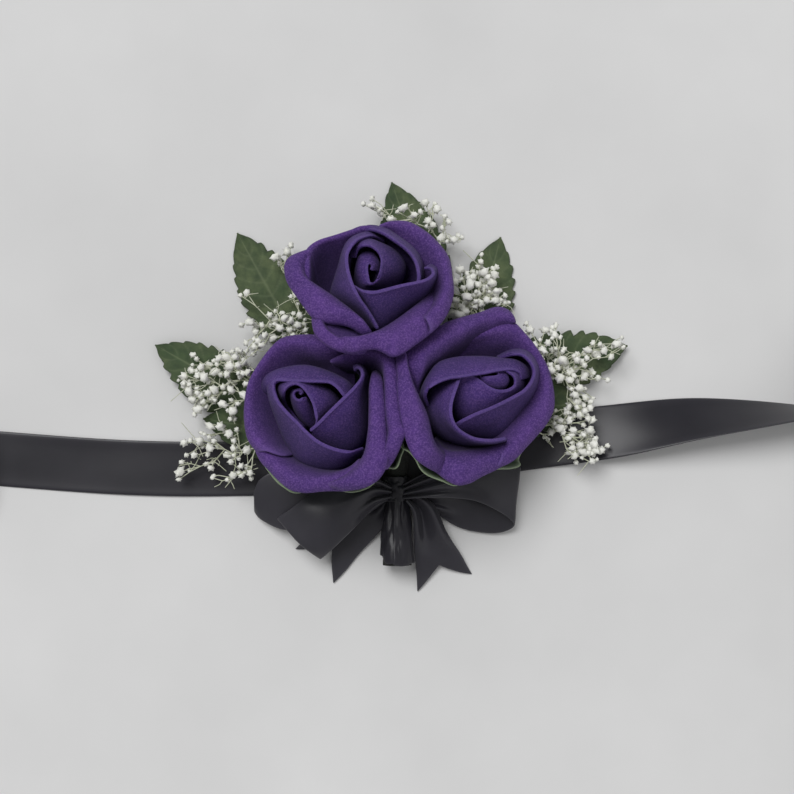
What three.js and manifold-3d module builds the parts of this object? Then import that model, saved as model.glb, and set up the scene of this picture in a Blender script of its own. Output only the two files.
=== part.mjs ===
// A wrist corsage lying open on a table: three foam roses, fabric leaves and sprays of
// baby's breath bound into one stem bundle, with a satin bow and a satin ribbon to tie it on.
// Millimetres, +Z up. The origin is the middle of the wrist ribbon's underside.
import * as THREE from "three";
import { mergeVertices } from "three/addons/utils/BufferGeometryUtils.js";
import Module from "manifold-3d";

const wasm = await Module();
wasm.setup();

// Driving dimensions
const ribbonWidth = 20;
const ribbonThickness = 0.5;
const bandReach = 160; // from the middle to where each tie end is rolled up
const rollCoreRadius = 5;
const rollPitch = 1.5;
const headRadius = 30.5;
const petalThickness = 1.2;
const calyxThickness = 0.9;
const stemDiameter = 2.2;
const wireDiameter = 0.8;
const tapeThickness = 0.5;
const knotThickness = 0.8;
const knotWidth = 8;
const pinchWidth = 7; // a ribbon's width where the knot gathers it
const bundleLength = 44;
const wrapLength = 24.7;
const leafLength = 48;
const leafWidth = 23;
const leafThickness = 0.5;
const budDiameter = 2.8;
const twigDiameter = 0.7;
const clearance = 0.3;

// Counts and angles
const rollTurns = 4;
const stepsPerTurn = 20;
const roundSides = 16;
const stemSides = 8;
const wireSides = 6;
const twigSides = 4;
const degree = Math.PI / 180;

// Colours and finishes
const finishes = {
  foam: { color: 0x4b2a7d, roughness: 0.85, metalness: 0 },
  satin: { color: 0x2b2a30, roughness: 0.45, metalness: 0 },
  leafCloth: { color: 0x3f5b3a, roughness: 0.7, metalness: 0 },
  calyxPlastic: { color: 0x4a7446, roughness: 0.5, metalness: 0 },
  stemPlastic: { color: 0x35502f, roughness: 0.5, metalness: 0 },
  tape: { color: 0x1c1d1a, roughness: 0.9, metalness: 0 },
  blossom: { color: 0xe6e6dc, roughness: 0.6, metalness: 0 },
};

const corsage = new THREE.Group();

function addMesh(name, geometry, finish, parent = corsage) {
  const mesh = new THREE.Mesh(geometry, new THREE.MeshStandardMaterial(finishes[finish]));
  mesh.name = name;
  parent.add(mesh);
  return mesh;
}

// A flat unit slab bent to shape. middleAt(u, v) is the middle of the sheet and
// thicknessAt(v) its thickness, with u across and v along, both from 0 to 1.
function bentSheet(acrossSteps, alongSteps, middleAt, thicknessAt) {
  const sheet = new THREE.BoxGeometry(1, 1, 1, acrossSteps, alongSteps, 1);
  const position = sheet.getAttribute("position");
  const differenceShare = 1e-3;
  for (let i = 0; i < position.count; i++) {
    const u = Math.round((position.getX(i) + 0.5) * acrossSteps) / acrossSteps;
    const v = Math.round((position.getY(i) + 0.5) * alongSteps) / alongSteps;
    const side = Math.sign(position.getZ(i));
    const uLow = Math.max(0, u - differenceShare);
    const uHigh = Math.min(1, u + differenceShare);
    const vLow = Math.max(0, v - differenceShare);
    const vHigh = Math.min(1, v + differenceShare);
    const across = middleAt(uHigh, v).sub(middleAt(uLow, v)).normalize();
    const along = middleAt(u, vHigh).sub(middleAt(u, vLow)).normalize();
    const normal = across.cross(along).normalize();
    const point = middleAt(u, v).addScaledVector(normal, (side * thicknessAt(v)) / 2);
    position.setXYZ(i, point.x, point.y, point.z);
  }
  return bareGeometry(sheet);
}

function bareGeometry(geometry) {
  const bare = geometry.clone();
  bare.deleteAttribute("normal");
  bare.deleteAttribute("uv");
  return mergeVertices(bare);
}

function blend(from, to, share) {
  return from + (to - from) * share;
}

function smoothShare(value, low, high) {
  const share = Math.min(1, Math.max(0, (value - low) / (high - low)));
  return share * share * (3 - 2 * share);
}

// A curve stepped from way point to way point, so that a coarse bar still meets each of them
class WayCurve extends THREE.CatmullRomCurve3 {
  getPointAt(share) {
    return this.getPoint(share);
  }
  getTangentAt(share) {
    return this.getTangent(share);
  }
}

// A round bar along a curve
function roundBar(curve, diameter, sides, steps) {
  const section = new THREE.Shape().absarc(0, 0, diameter / 2, 0, 2 * Math.PI);
  return bareGeometry(
    new THREE.ExtrudeGeometry(section, {
      steps,
      curveSegments: sides / 2,
      bevelEnabled: false,
      extrudePath: curve,
    }),
  );
}

// A round shell about the Y axis, from a closed profile of [radius, y]
function turned(profile) {
  const points = profile.map(([radius, y]) => new THREE.Vector2(radius, y));
  return bareGeometry(new THREE.LatheGeometry(points, roundSides));
}

function toManifold(geometry) {
  const bare = geometry.getAttribute("normal") ? bareGeometry(geometry) : geometry;
  return new wasm.Manifold(
    new wasm.Mesh({
      numProp: 3,
      vertProperties: new Float32Array(bare.getAttribute("position").array),
      triVerts: new Uint32Array(bare.index.array),
    }),
  );
}

function fromManifold(solid) {
  const mesh = solid.getMesh();
  const geometry = new THREE.BufferGeometry();
  geometry.setAttribute("position", new THREE.BufferAttribute(mesh.vertProperties, 3));
  geometry.setIndex(new THREE.BufferAttribute(mesh.triVerts, 1));
  return geometry;
}

// The stem bundle: cross-section and heights
const stemHalfPitch = (stemDiameter + 1.5 * clearance) / 2;
const wirePitch = wireDiameter + clearance * 1.5;
const lowStemRise = 0.4 * stemDiameter;
const highStemRise = lowStemRise + stemHalfPitch * Math.sqrt(3);
const sprigRowRise = lowStemRise - stemDiameter / 2 - clearance - wireDiameter / 2;
const leafRowRise = sprigRowRise - wirePitch;
const lowLeafRowRise = leafRowRise - wirePitch;
const tapeBoreRadius = highStemRise + stemDiameter / 2 + clearance;
const tapeRadius = tapeBoreRadius + tapeThickness;
const wrapBoreRadius = tapeRadius + clearance;
const wrapRadius = wrapBoreRadius + ribbonThickness;
const knotBoreRadius = tapeRadius + clearance;
const knotRadius = knotBoreRadius + knotThickness;
const bundleHeight = ribbonThickness + clearance + knotRadius;
const knotY = -0.45 * ribbonWidth;
const wrapTopY = knotY - knotWidth / 2 - clearance;
const wrapEndY = wrapTopY - wrapLength;
const bundleEndY = wrapEndY + ribbonThickness + clearance;
const bundleMouthY = bundleEndY + bundleLength;
const fanY = bundleMouthY + stemDiameter;
const outermostSlot = 4;

// Wires fan out of the bundle's mouth one after another, the outermost first
function wireFanY(slot) {
  return bundleMouthY + wirePitch * (outermostSlot - Math.abs(slot));
}

// Heights of what passes under the roses, from the ribbon upwards
const foldRise = 0.025 * leafWidth; // a blade's edges stand this much above its midrib
const lowLeafLevel = ribbonThickness + clearance + wireDiameter / 2;
const midLeafLevel = lowLeafLevel + wireDiameter + clearance + foldRise;
const highLeafLevel = midLeafLevel + wireDiameter + clearance + foldRise;
const sprigLevel = highLeafLevel + wireDiameter + clearance + foldRise;
const calyxDropShare = 0.23; // how far a tilted calyx hangs below its own base
const headBaseHeight = sprigLevel + wireDiameter / 2 + clearance + calyxDropShare * headRadius;

// Roses. Places are shares of the head's radius, angles are degrees.
const roses = [
  {
    name: "rose_upper",
    baseShares: [-0.43, 1.58],
    riseShare: 0.2,
    tilt: 33,
    reachShares: [1, 1, 1, 1, 1],
    press: [
      [250, 0.92],
      [315, 0.92],
    ],
    swell: [],
    seamSide: 0,
    lean: 73,
    slot: [0, highStemRise],
    outer: [35, 112, 192, 268, 332],
    inner: [195, 50, 300],
    bud: 40,
  },
  {
    name: "rose_left",
    baseShares: [-0.49, 0.43],
    riseShare: 0,
    tilt: 30,
    reachShares: [0.72, 1, 1, 1, 1],
    press: [[85, 0.9]],
    swell: [
      [170, 0.07],
      [45, 0.12],
      [310, 0.1],
    ],
    seamSide: 1,
    lean: 142,
    slot: [-stemHalfPitch, lowStemRise],
    outer: [60, 132, 205, 272, 340],
    inner: [110, 220, 330],
    bud: 250,
  },
  {
    name: "rose_right",
    baseShares: [0.575, 0.57],
    riseShare: 0,
    tilt: 30,
    reachShares: [0.9, 1, 1, 1, 1],
    press: [],
    swell: [
      [80, 0.05],
      [270, 0.06],
      [150, 0.1],
      [215, 0.1],
    ],
    seamSide: -1,
    lean: 40,
    slot: [stemHalfPitch, lowStemRise],
    outer: [114, 40, 330, 262, 190],
    inner: [110, 350, 225],
    bud: 150,
  },
];

// Each ring of petals lies on one surface of revolution. The profile runs from the base
// to the rolled rim as [radius, height] shares of the head's radius. Each petal leans
// through that surface, so that neighbours overlap like tiles and never meet.
const outerRing = {
  profileShares: [
    [0.2, 0.1],
    [0.46, 0.17],
    [0.69, 0.37],
    [0.78, 0.6],
    [0.84, 0.78],
    [0.91, 0.84],
    [0.955, 0.77],
  ],
  halfAngle: 46 * degree,
  stagger: petalThickness + clearance / 2,
  cornerDropShare: 0.1,
  shiftShare: 0,
  acrossSteps: 6,
  alongSteps: 5,
};
const innerRing = {
  profileShares: [
    [0.21, 0.29],
    [0.38, 0.34],
    [0.5, 0.48],
    [0.51, 0.68],
    [0.45, 0.9],
    [0.4, 1.02],
  ],
  halfAngle: 80 * degree,
  stagger: petalThickness + 1.2 * clearance,
  cornerDropShare: 0.12,
  shiftShare: 0.1,
  acrossSteps: 7,
  alongSteps: 4,
};
const budShape = {
  coreShare: 0.06,
  radiusShare: 0.24,
  baseShare: 0.1,
  topShare: 1.0,
  footShare: 0.32,
  turns: 1.6,
  steps: 14,
  fullWidthShare: 0.6,
};

// A petal's width along its length, as a share of its greatest width
const petalOutline = { footShare: 0.4, widestShare: 0.62, tipRoundShare: 0.62 };

function petalWidthShare(v) {
  const { footShare, widestShare, tipRoundShare } = petalOutline;
  if (v < widestShare) return blend(footShare, 1, Math.sin((v / widestShare) * (Math.PI / 2)));
  const beyond = (v - widestShare) / (1 - widestShare);
  return Math.sqrt(1 - tipRoundShare * beyond * beyond);
}

function ringProfile(ring) {
  const points = ring.profileShares.map(([radiusShare, heightShare]) => {
    return new THREE.Vector2(radiusShare * headRadius, heightShare * headRadius);
  });
  return new THREE.SplineCurve(points);
}

// A point on a ring's surface, moved inwards along its normal by offset
function ringPoint(profile, along, offset, angle) {
  const point = profile.getPoint(along);
  const tangent = profile.getTangent(along);
  const radius = point.x - tangent.y * offset;
  const height = point.y + tangent.x * offset;
  return new THREE.Vector3(radius * Math.cos(angle), radius * Math.sin(angle), height);
}

const swellWidth = 40 * degree;
const pressSharpness = 10;
const hubShare = 0.1; // nothing is pressed this near the middle of a head
const fullPressShare = 0.5; // and all of it from here outwards
const rimShare = 0.96; // the outermost rim of a round head
const seamX = 0.09 * headRadius; // the lower roses press on each other at this upright plane

// How far along its radius a head may reach to the seam, as a share of its rim
function seamShare(rose, angle, height) {
  const outward = new THREE.Vector3(Math.cos(angle), Math.sin(angle), 0);
  const facing = rose.seamSide * outward.applyQuaternion(headTurn(rose)).x;
  if (facing <= 0) return Infinity;
  const axisX = headBase(rose).x + headAxis(rose).x * height;
  return (rose.seamSide * (seamX - axisX) - clearance) / (facing * rimShare * headRadius);
}

// How much of its radius a head keeps: it swells in some directions, and is flattened
// where a neighbour presses on it
function pressedShare(rose, angle, height) {
  let share = 1;
  for (const [degrees, swellShare] of rose.swell) {
    const away = angle - degrees * degree;
    const apart = Math.atan2(Math.sin(away), Math.cos(away)) / swellWidth;
    share += swellShare * Math.exp(-apart * apart);
  }
  const limits = [share, seamShare(rose, angle, height)];
  for (const [degrees, keptShare] of rose.press) {
    const facing = Math.cos(angle - degrees * degree);
    limits.push(facing > 0 ? keptShare / facing : Infinity);
  }
  const sum = limits.reduce((total, limit) => total + Math.pow(limit, -pressSharpness), 0);
  return Math.pow(sum, -1 / pressSharpness);
}

// Sets a point of a head's plain form into this rose: pressed by its neighbours, and with
// the inner petals drawn over to the side that the head leans to
function settle(point, rose, shiftShare) {
  const outShare = smoothShare(Math.hypot(point.x, point.y) / headRadius, hubShare, fullPressShare);
  const share = blend(1, pressedShare(rose, Math.atan2(point.y, point.x), point.z), outShare);
  const shift = shiftShare * point.z;
  point.x = point.x * share + shift * Math.cos(rose.lean * degree);
  point.y = point.y * share + shift * Math.sin(rose.lean * degree);
  return point;
}

function petal(rose, ring, centreDegrees, reachShare) {
  const profile = ringProfile(ring);
  return bentSheet(
    ring.acrossSteps,
    ring.alongSteps,
    (u, v) => {
      const across = 2 * u - 1;
      const along = v * reachShare * (1 - ring.cornerDropShare * across * across);
      const angle = centreDegrees * degree + ring.halfAngle * petalWidthShare(v) * across;
      const point = ringPoint(profile, along, ring.stagger * across, angle);
      return settle(point, rose, ring.shiftShare);
    },
    () => petalThickness,
  );
}

function rolledBud(rose) {
  return bentSheet(
    budShape.steps,
    3,
    (u, v) => {
      const angle = rose.bud * degree + u * budShape.turns * 2 * Math.PI;
      const bulgeShare = blend(budShape.footShare, 1, smoothShare(v, 0, budShape.fullWidthShare));
      const radius = headRadius * blend(budShape.coreShare, budShape.radiusShare, u) * bulgeShare;
      const height = headRadius * blend(budShape.baseShare, budShape.topShare, v);
      const point = new THREE.Vector3(radius * Math.cos(angle), radius * Math.sin(angle), height);
      return settle(point, rose, innerRing.shiftShare);
    },
    () => petalThickness,
  );
}

// The calyx follows the outside of the outer petals and ends in five pointed sepals
const calyx = {
  sepals: 5,
  reachShare: 0.62,
  notchShare: 0.32,
  sharpness: 1.6,
  alongSteps: 4,
  sides: 30,
};
const calyxGap = 5 * clearance;
const calyxOffset = -(outerRing.stagger + (petalThickness + calyxThickness) / 2 + calyxGap);
const calyxHoleRadius = stemDiameter / 2 + clearance;

function calyxCup(rose) {
  const rim = [];
  for (let i = 0; i <= calyx.alongSteps; i++) rim.push([1 + i / calyx.alongSteps, 1]);
  for (let i = calyx.alongSteps; i >= 0; i--) rim.push([1 + i / calyx.alongSteps, -1]);
  rim.push([1, 1]);
  const points = rim.map(([x, y]) => new THREE.Vector2(x, y));
  const cup = bareGeometry(new THREE.LatheGeometry(points, calyx.sides));
  const position = cup.getAttribute("position");
  const profile = ringProfile(outerRing);
  for (let i = 0; i < position.count; i++) {
    const x = position.getX(i);
    const y = position.getZ(i);
    const share = Math.max(0, Math.hypot(x, y) - 1);
    const angle = Math.atan2(y, x);
    const wave = Math.cos(calyx.sepals * (angle - rose.lean * degree));
    const pointed = Math.pow(0.5 + 0.5 * wave, calyx.sharpness);
    const along = share * blend(calyx.notchShare, calyx.reachShare, pointed);
    const offset = calyxOffset + (position.getY(i) * calyxThickness) / 2;
    const point = ringPoint(profile, along, offset, angle);
    const inward = 1 - smoothShare(share, 0, 1 / calyx.alongSteps);
    const radius = Math.hypot(point.x, point.y);
    const wanted = blend(radius, calyxHoleRadius, inward);
    point.x *= wanted / radius;
    point.y *= wanted / radius;
    settle(point, rose, outerRing.shiftShare);
    position.setXYZ(i, point.x, point.y, point.z);
  }
  return cup;
}

// The room that a whole head takes, as a plain cone of [radius, height] shares, so that
// what lies below it can be cut clear
const roomConeShares = [
  [0, -0.06],
  [0.7, -0.06],
  [1.1, 0.9],
  [0, 0.9],
];
const roomSides = 12;

function headRoom() {
  const points = roomConeShares.map(([radiusShare, heightShare]) => {
    return new THREE.Vector2(radiusShare * headRadius, heightShare * headRadius);
  });
  const room = new THREE.LatheGeometry(points, roomSides);
  room.rotateX(Math.PI / 2);
  return bareGeometry(room);
}

function headAxis(rose) {
  const lean = rose.lean * degree;
  const sideways = Math.sin(rose.tilt * degree);
  return new THREE.Vector3(
    sideways * Math.cos(lean),
    sideways * Math.sin(lean),
    Math.cos(rose.tilt * degree),
  );
}

function headBase(rose) {
  const [xShare, yShare] = rose.baseShares;
  const height = headBaseHeight + rose.riseShare * headRadius;
  return new THREE.Vector3(xShare * headRadius, yShare * headRadius, height);
}

// A stem runs straight through the bundle, fans out of its mouth and turns up into the calyx
const stemApproachShare = 0.25; // of the way from the calyx back to the bundle
const stemDropShare = 0.5; // of its fall is done there

function roseStem(rose) {
  const axis = headAxis(rose);
  const base = headBase(rose);
  const [slotX, slotRise] = rose.slot;
  const slotHeight = bundleHeight + slotRise;
  const stemTop = base.clone().addScaledVector(axis, budShape.baseShare * headRadius - clearance);
  const bend = base.clone().addScaledVector(axis, -stemDiameter);
  const approach = bend.clone().lerp(new THREE.Vector3(slotX, fanY, slotHeight), stemApproachShare);
  approach.z = blend(bend.z, slotHeight, stemDropShare);
  const curve = new WayCurve([
    new THREE.Vector3(slotX, bundleEndY, slotHeight),
    new THREE.Vector3(slotX, bundleMouthY, slotHeight),
    new THREE.Vector3(slotX, fanY, slotHeight),
    approach,
    bend,
    stemTop,
  ]);
  return roundBar(curve, stemDiameter, stemSides, 3 * (curve.points.length - 1));
}

function headTurn(rose) {
  return new THREE.Quaternion().setFromUnitVectors(new THREE.Vector3(0, 0, 1), headAxis(rose));
}

function placeHead(object, rose) {
  object.position.copy(headBase(rose));
  object.quaternion.copy(headTurn(rose));
  object.updateMatrixWorld();
  return object;
}

// A lower head's piece, cut clear of the head that lies over it
function clearOfHigherHead(geometry, head, rose) {
  if (rose === highRose) return geometry;
  const higher = placeHead(new THREE.Group(), highRose);
  const room = headRoom();
  room.applyMatrix4(higher.matrixWorld);
  room.applyMatrix4(head.matrixWorld.clone().invert());
  const pieces = toManifold(geometry).subtract(toManifold(room)).decompose();
  pieces.sort((a, b) => b.volume() - a.volume());
  return fromManifold(pieces[0]);
}

const highRose = roses[0];
for (const rose of roses) {
  const head = placeHead(new THREE.Group(), rose);
  corsage.add(head);
  addMesh(rose.name + "_bud", rolledBud(rose), "foam", head);
  rose.inner.forEach((angle, i) => {
    const name = rose.name + "_inner_petal_" + (i + 1);
    addMesh(name, petal(rose, innerRing, angle, 1), "foam", head);
  });
  rose.outer.forEach((angle, i) => {
    const name = rose.name + "_outer_petal_" + (i + 1);
    const whole = petal(rose, outerRing, angle, rose.reachShares[i]);
    addMesh(name, clearOfHigherHead(whole, head, rose), "foam", head);
  });
  const cup = clearOfHigherHead(calyxCup(rose), head, rose);
  addMesh(rose.name + "_calyx", cup, "calyxPlastic", head);
  addMesh(rose.name + "_stem", roseStem(rose), "stemPlastic");
}

// Leaves. Tips are shares of the leaf's length, headings are degrees. A leaf is one piece:
// a serrated cloth blade on its wire, which runs back into the bundle.
const leaves = [
  { name: "leaf_left_low", tipShares: [-1.46, 0.33], heading: 170, slot: -2.15, row: leafRowRise,
    level: highLeafLevel, tipLevel: highLeafLevel },
  { name: "leaf_left", tipShares: [-1.82, 0.87], heading: 149, slot: -1.15, row: leafRowRise,
    level: midLeafLevel, tipLevel: midLeafLevel },
  { name: "leaf_left_upper", tipShares: [-1.2, 1.71], heading: 116, slot: 0, row: leafRowRise,
    level: lowLeafLevel, tipLevel: leafThickness / 2 },
  { name: "leaf_top", tipShares: [-0.04, 2.09], heading: 109, slot: -0.5, row: lowLeafRowRise,
    level: midLeafLevel, tipLevel: leafThickness / 2 },
  { name: "leaf_right_upper", tipShares: [0.775, 1.685], heading: 75, slot: 0.5,
    row: lowLeafRowRise, level: lowLeafLevel, tipLevel: leafThickness / 2 },
  { name: "leaf_right", tipShares: [1.74, 0.88], heading: 14, slot: 1.15, row: leafRowRise,
    level: midLeafLevel, tipLevel: midLeafLevel },
  { name: "leaf_right_low", tipShares: [1.46, 0.45], heading: 5, slot: 2.15, row: leafRowRise,
    level: highLeafLevel, tipLevel: highLeafLevel },
];
const leafWireSteps = 8;
const leafBladeSteps = 12;
const leafTeeth = 6;
const toothShare = 0.12;
const leafTipShare = 0.03;
const leafFullness = 0.8; // lower is blunter at the base and the tip
const leafWireShares = { way: 0.4, drop: 0.25, turn: 0.8 };

function bladeWidthShare(v) {
  const body = Math.pow(Math.sin(Math.PI * Math.pow(v, leafFullness)), leafFullness);
  const tooth = 1 - toothShare * ((v * leafTeeth) % 1);
  return Math.max(leafTipShare, body * tooth);
}

function leaf(item) {
  const [xShare, yShare] = item.tipShares;
  const forward = new THREE.Vector3(
    Math.cos(item.heading * degree),
    Math.sin(item.heading * degree),
    0,
  );
  const side = new THREE.Vector3(-forward.y, forward.x, 0);
  const tip = new THREE.Vector3(xShare * leafLength, yShare * leafLength, item.tipLevel);
  const base = tip.clone().addScaledVector(forward, -leafLength).setZ(item.level);
  const slotX = item.slot * wirePitch;
  const slotHeight = bundleHeight + item.row;
  const mouth = new THREE.Vector3(slotX, wireFanY(item.slot), slotHeight);
  const wire = new WayCurve([
    new THREE.Vector3(slotX, bundleEndY, slotHeight),
    new THREE.Vector3(slotX, bundleMouthY, slotHeight),
    mouth,
    base
      .clone()
      .lerp(mouth, leafWireShares.way)
      .setZ(blend(item.level, slotHeight, leafWireShares.drop)),
    base,
  ]);
  const wireShare = leafWireSteps / (leafWireSteps + leafBladeSteps);
  const middleAt = (u, v) => {
    const across = 2 * u - 1;
    if (v <= wireShare) {
      const share = v / wireShare;
      const tangent = wire.getTangentAt(share);
      const sideways = new THREE.Vector3(-tangent.y, tangent.x, 0).normalize();
      const turn = smoothShare(share, leafWireShares.turn, 1);
      sideways.lerp(side, turn).normalize();
      return wire.getPointAt(share).addScaledVector(sideways, (across * wireDiameter) / 2);
    }
    const share = (v - wireShare) / (1 - wireShare);
    const halfWidth = Math.max(wireDiameter, leafWidth * bladeWidthShare(share)) / 2;
    const point = base.clone().lerp(tip, share);
    point.z += foldRise * Math.abs(across) * bladeWidthShare(share);
    return point.addScaledVector(side, across * halfWidth);
  };
  return bentSheet(2, leafWireSteps + leafBladeSteps, middleAt, (v) =>
    v <= wireShare ? wireDiameter : leafThickness,
  );
}

for (const item of leaves) addMesh(item.name, leaf(item), "leafCloth");

// Sprays of baby's breath. A spray's wire leaves the bundle, forks outside the roses and
// carries small round blossoms. Places are shares of the head's radius.
const sprays = [
  { name: "spray_left_low", forkShares: [-1.56, 0.2], heading: 176, slot: -3, twigs: 6 },
  { name: "spray_left", forkShares: [-1.63, 0.95], heading: 152, slot: -2, twigs: 7 },
  { name: "spray_left_upper", forkShares: [-1.28, 1.62], heading: 118, slot: -1, twigs: 6 },
  { name: "spray_top", forkShares: [0.4, 2.4], heading: 78, slot: 0, twigs: 5 },
  { name: "spray_right_upper", forkShares: [0.9, 1.72], heading: 58, slot: 1, twigs: 6 },
  { name: "spray_right", forkShares: [1.7, 0.98], heading: 22, slot: 2, twigs: 7 },
  { name: "spray_right_low", forkShares: [1.66, 0.36], heading: 0, slot: 3, twigs: 5 },
];
const twigReachShare = 0.8;
const twigSpread = 84 * degree;
const forkRiseShare = 0.08;
const sprayWireShares = [0.35, 0.75];
const shortTwigShare = 0.62;
const shortTwigRiseShare = 0.26;
const longTwigRiseShares = [0.1, 0.18, 0.26];

function twig(from, to) {
  const along = to.clone().sub(from);
  const radius = twigDiameter / 2;
  const rod = new THREE.CylinderGeometry(radius, radius, along.length(), twigSides, 1);
  const turn = new THREE.Quaternion().setFromUnitVectors(
    new THREE.Vector3(0, 1, 0),
    along.clone().normalize(),
  );
  rod.applyQuaternion(turn);
  rod.translate(...from.clone().lerp(to, 0.5).toArray());
  return rod;
}

function blossom(place, diameter) {
  const ball = new THREE.IcosahedronGeometry(diameter / 2, 0);
  ball.translate(place.x, place.y, place.z);
  return ball;
}

function spray(item) {
  const slotX = item.slot * wirePitch;
  const slotHeight = bundleHeight + sprigRowRise;
  const mouth = new THREE.Vector3(slotX, wireFanY(item.slot), slotHeight);
  const [xShare, yShare] = item.forkShares;
  const fork = new THREE.Vector3(
    xShare * headRadius,
    yShare * headRadius,
    sprigLevel + forkRiseShare * headRadius,
  );
  const wire = new WayCurve([
    new THREE.Vector3(slotX, bundleEndY, slotHeight),
    new THREE.Vector3(slotX, bundleMouthY, slotHeight),
    mouth,
    ...sprayWireShares.map((share) => mouth.clone().lerp(fork, share).setZ(sprigLevel)),
    fork,
  ]);
  let solid = toManifold(roundBar(wire, wireDiameter, wireSides, 2 * (wire.points.length - 1)));
  solid = solid.add(toManifold(blossom(fork, wireDiameter * 2)));
  for (let i = 0; i < item.twigs; i++) {
    const share = item.twigs > 1 ? i / (item.twigs - 1) : 0.5;
    const angle = item.heading * degree + (share - 0.5) * twigSpread;
    const reach = twigReachShare * headRadius * (i % 2 ? shortTwigShare : 1);
    const rise = headRadius * (i % 2 ? shortTwigRiseShare : longTwigRiseShares[i % 3]);
    const tip = new THREE.Vector3(
      fork.x + reach * Math.cos(angle),
      fork.y + reach * Math.sin(angle),
      fork.z + rise,
    );
    solid = solid.add(toManifold(twig(fork, tip)));
    solid = solid.add(toManifold(blossom(tip, budDiameter)));
  }
  return fromManifold(solid);
}

for (const item of sprays) addMesh(item.name, spray(item), "blossom");

// The tape that binds the stems, and the satin over their ends
const stemTape = addMesh(
  "stem_tape",
  turned([
    [tapeBoreRadius, bundleEndY],
    [tapeRadius, bundleEndY],
    [tapeRadius, bundleMouthY],
    [tapeBoreRadius, bundleMouthY],
    [tapeBoreRadius, bundleEndY],
  ]),
  "tape",
);
stemTape.position.z = bundleHeight;

const stemWrap = addMesh(
  "stem_wrap",
  turned([
    [0, wrapEndY],
    [wrapRadius, wrapEndY],
    [wrapRadius, wrapTopY],
    [wrapBoreRadius, wrapTopY],
    [wrapBoreRadius, wrapEndY + ribbonThickness],
    [0, wrapEndY + ribbonThickness],
  ]),
  "satin",
);
stemWrap.position.z = bundleHeight;

const bowKnot = addMesh(
  "bow_knot",
  turned([
    [knotBoreRadius, knotY - knotWidth / 2],
    [knotRadius, knotY - knotWidth / 2],
    [knotRadius, knotY + knotWidth / 2],
    [knotBoreRadius, knotY + knotWidth / 2],
    [knotBoreRadius, knotY - knotWidth / 2],
  ]),
  "satin",
);
bowKnot.position.z = bundleHeight;

// A point just off the knot's surface: angle 0 is to the right, 90 is up
function knotPoint(angleDegrees) {
  const reach = knotRadius + clearance + ribbonThickness / 2;
  return new THREE.Vector3(
    reach * Math.cos(angleDegrees * degree),
    knotY,
    bundleHeight + reach * Math.sin(angleDegrees * degree),
  );
}

// Bow loops. The ribbon leaves the knot, turns over at the far end and comes back below.
// Way points are shares of the ribbon's width, measured from the knot's middle at the table.
const bowLoops = [
  {
    name: "bow_loop_left_front",
    startAngle: 128,
    endAngle: 152,
    farSide: [0.72, -0.69],
    wayShares: [
      [-0.7, -0.42, 0.7],
      [-1.4, -0.8, 0.62],
      [-1.78, -1.0, 0.46],
      [-1.4, -0.8, 0.31],
      [-0.7, -0.42, 0.4],
    ],
  },
  {
    name: "bow_loop_left_back",
    startAngle: 175,
    endAngle: 197,
    farSide: [0.4, -0.92],
    wayShares: [
      [-0.8, -0.06, 0.31],
      [-1.8, -0.14, 0.25],
      [-2.4, -0.18, 0.155],
      [-1.8, -0.14, 0.065],
      [-0.8, -0.06, 0.13],
    ],
  },
  {
    name: "bow_loop_right",
    startAngle: 38,
    endAngle: -4,
    farSide: [-0.15, -0.99],
    wayShares: [
      [0.7, 0.08, 0.66],
      [1.6, 0.02, 0.6],
      [2.16, -0.17, 0.36],
      [1.6, -0.3, 0.12],
      [0.7, -0.24, 0.2],
    ],
  },
];

const loopOpenShares = [0.05, 0.75]; // where a loop begins to widen, and is full width

function bowLoop(item) {
  const way = item.wayShares.map(([x, y, z]) => {
    return new THREE.Vector3(x * ribbonWidth, knotY + y * ribbonWidth, z * ribbonWidth);
  });
  const curve = new THREE.CatmullRomCurve3([
    knotPoint(item.startAngle),
    ...way,
    knotPoint(item.endAngle),
  ]);
  const knotSide = new THREE.Vector3(0, -1, 0);
  const farSide = new THREE.Vector3(...item.farSide, 0).normalize();
  return bentSheet(
    2,
    20,
    (u, v) => {
      const across = 2 * u - 1;
      const openShare = smoothShare(Math.sin(Math.PI * v), ...loopOpenShares);
      const side = knotSide.clone().lerp(farSide, openShare).normalize();
      const width = blend(pinchWidth, ribbonWidth, openShare);
      return curve.getPointAt(v).addScaledVector(side, (across * width) / 2);
    },
    () => ribbonThickness,
  );
}

for (const item of bowLoops) addMesh(item.name, bowLoop(item), "satin");

// Bow tails, with a swallow-tail cut. Way points as for the loops.
const tailNotchShare = 0.36;
const tailTurnShares = [0, 0.3]; // along a tail, where it turns from the knot's side to its own
const tailOpenShares = [0.1, 0.75]; // and where it opens to the ribbon's width
const bowTails = [
  {
    name: "bow_tail_left",
    startAngle: 214,
    farSide: [0.71, -0.7],
    wayShares: [
      [-0.56, -0.16, 0.11],
      [-0.95, -0.75, 0.04],
      [-1.51, -1.39, 0.0125],
    ],
  },
  {
    name: "bow_tail_right",
    startAngle: 15,
    farSide: [-0.944, -0.33],
    wayShares: [
      [0.56, -0.3, 0.4],
      [0.7, -0.95, 0.16],
      [0.865, -1.72, 0.0125],
    ],
  },
];

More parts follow.
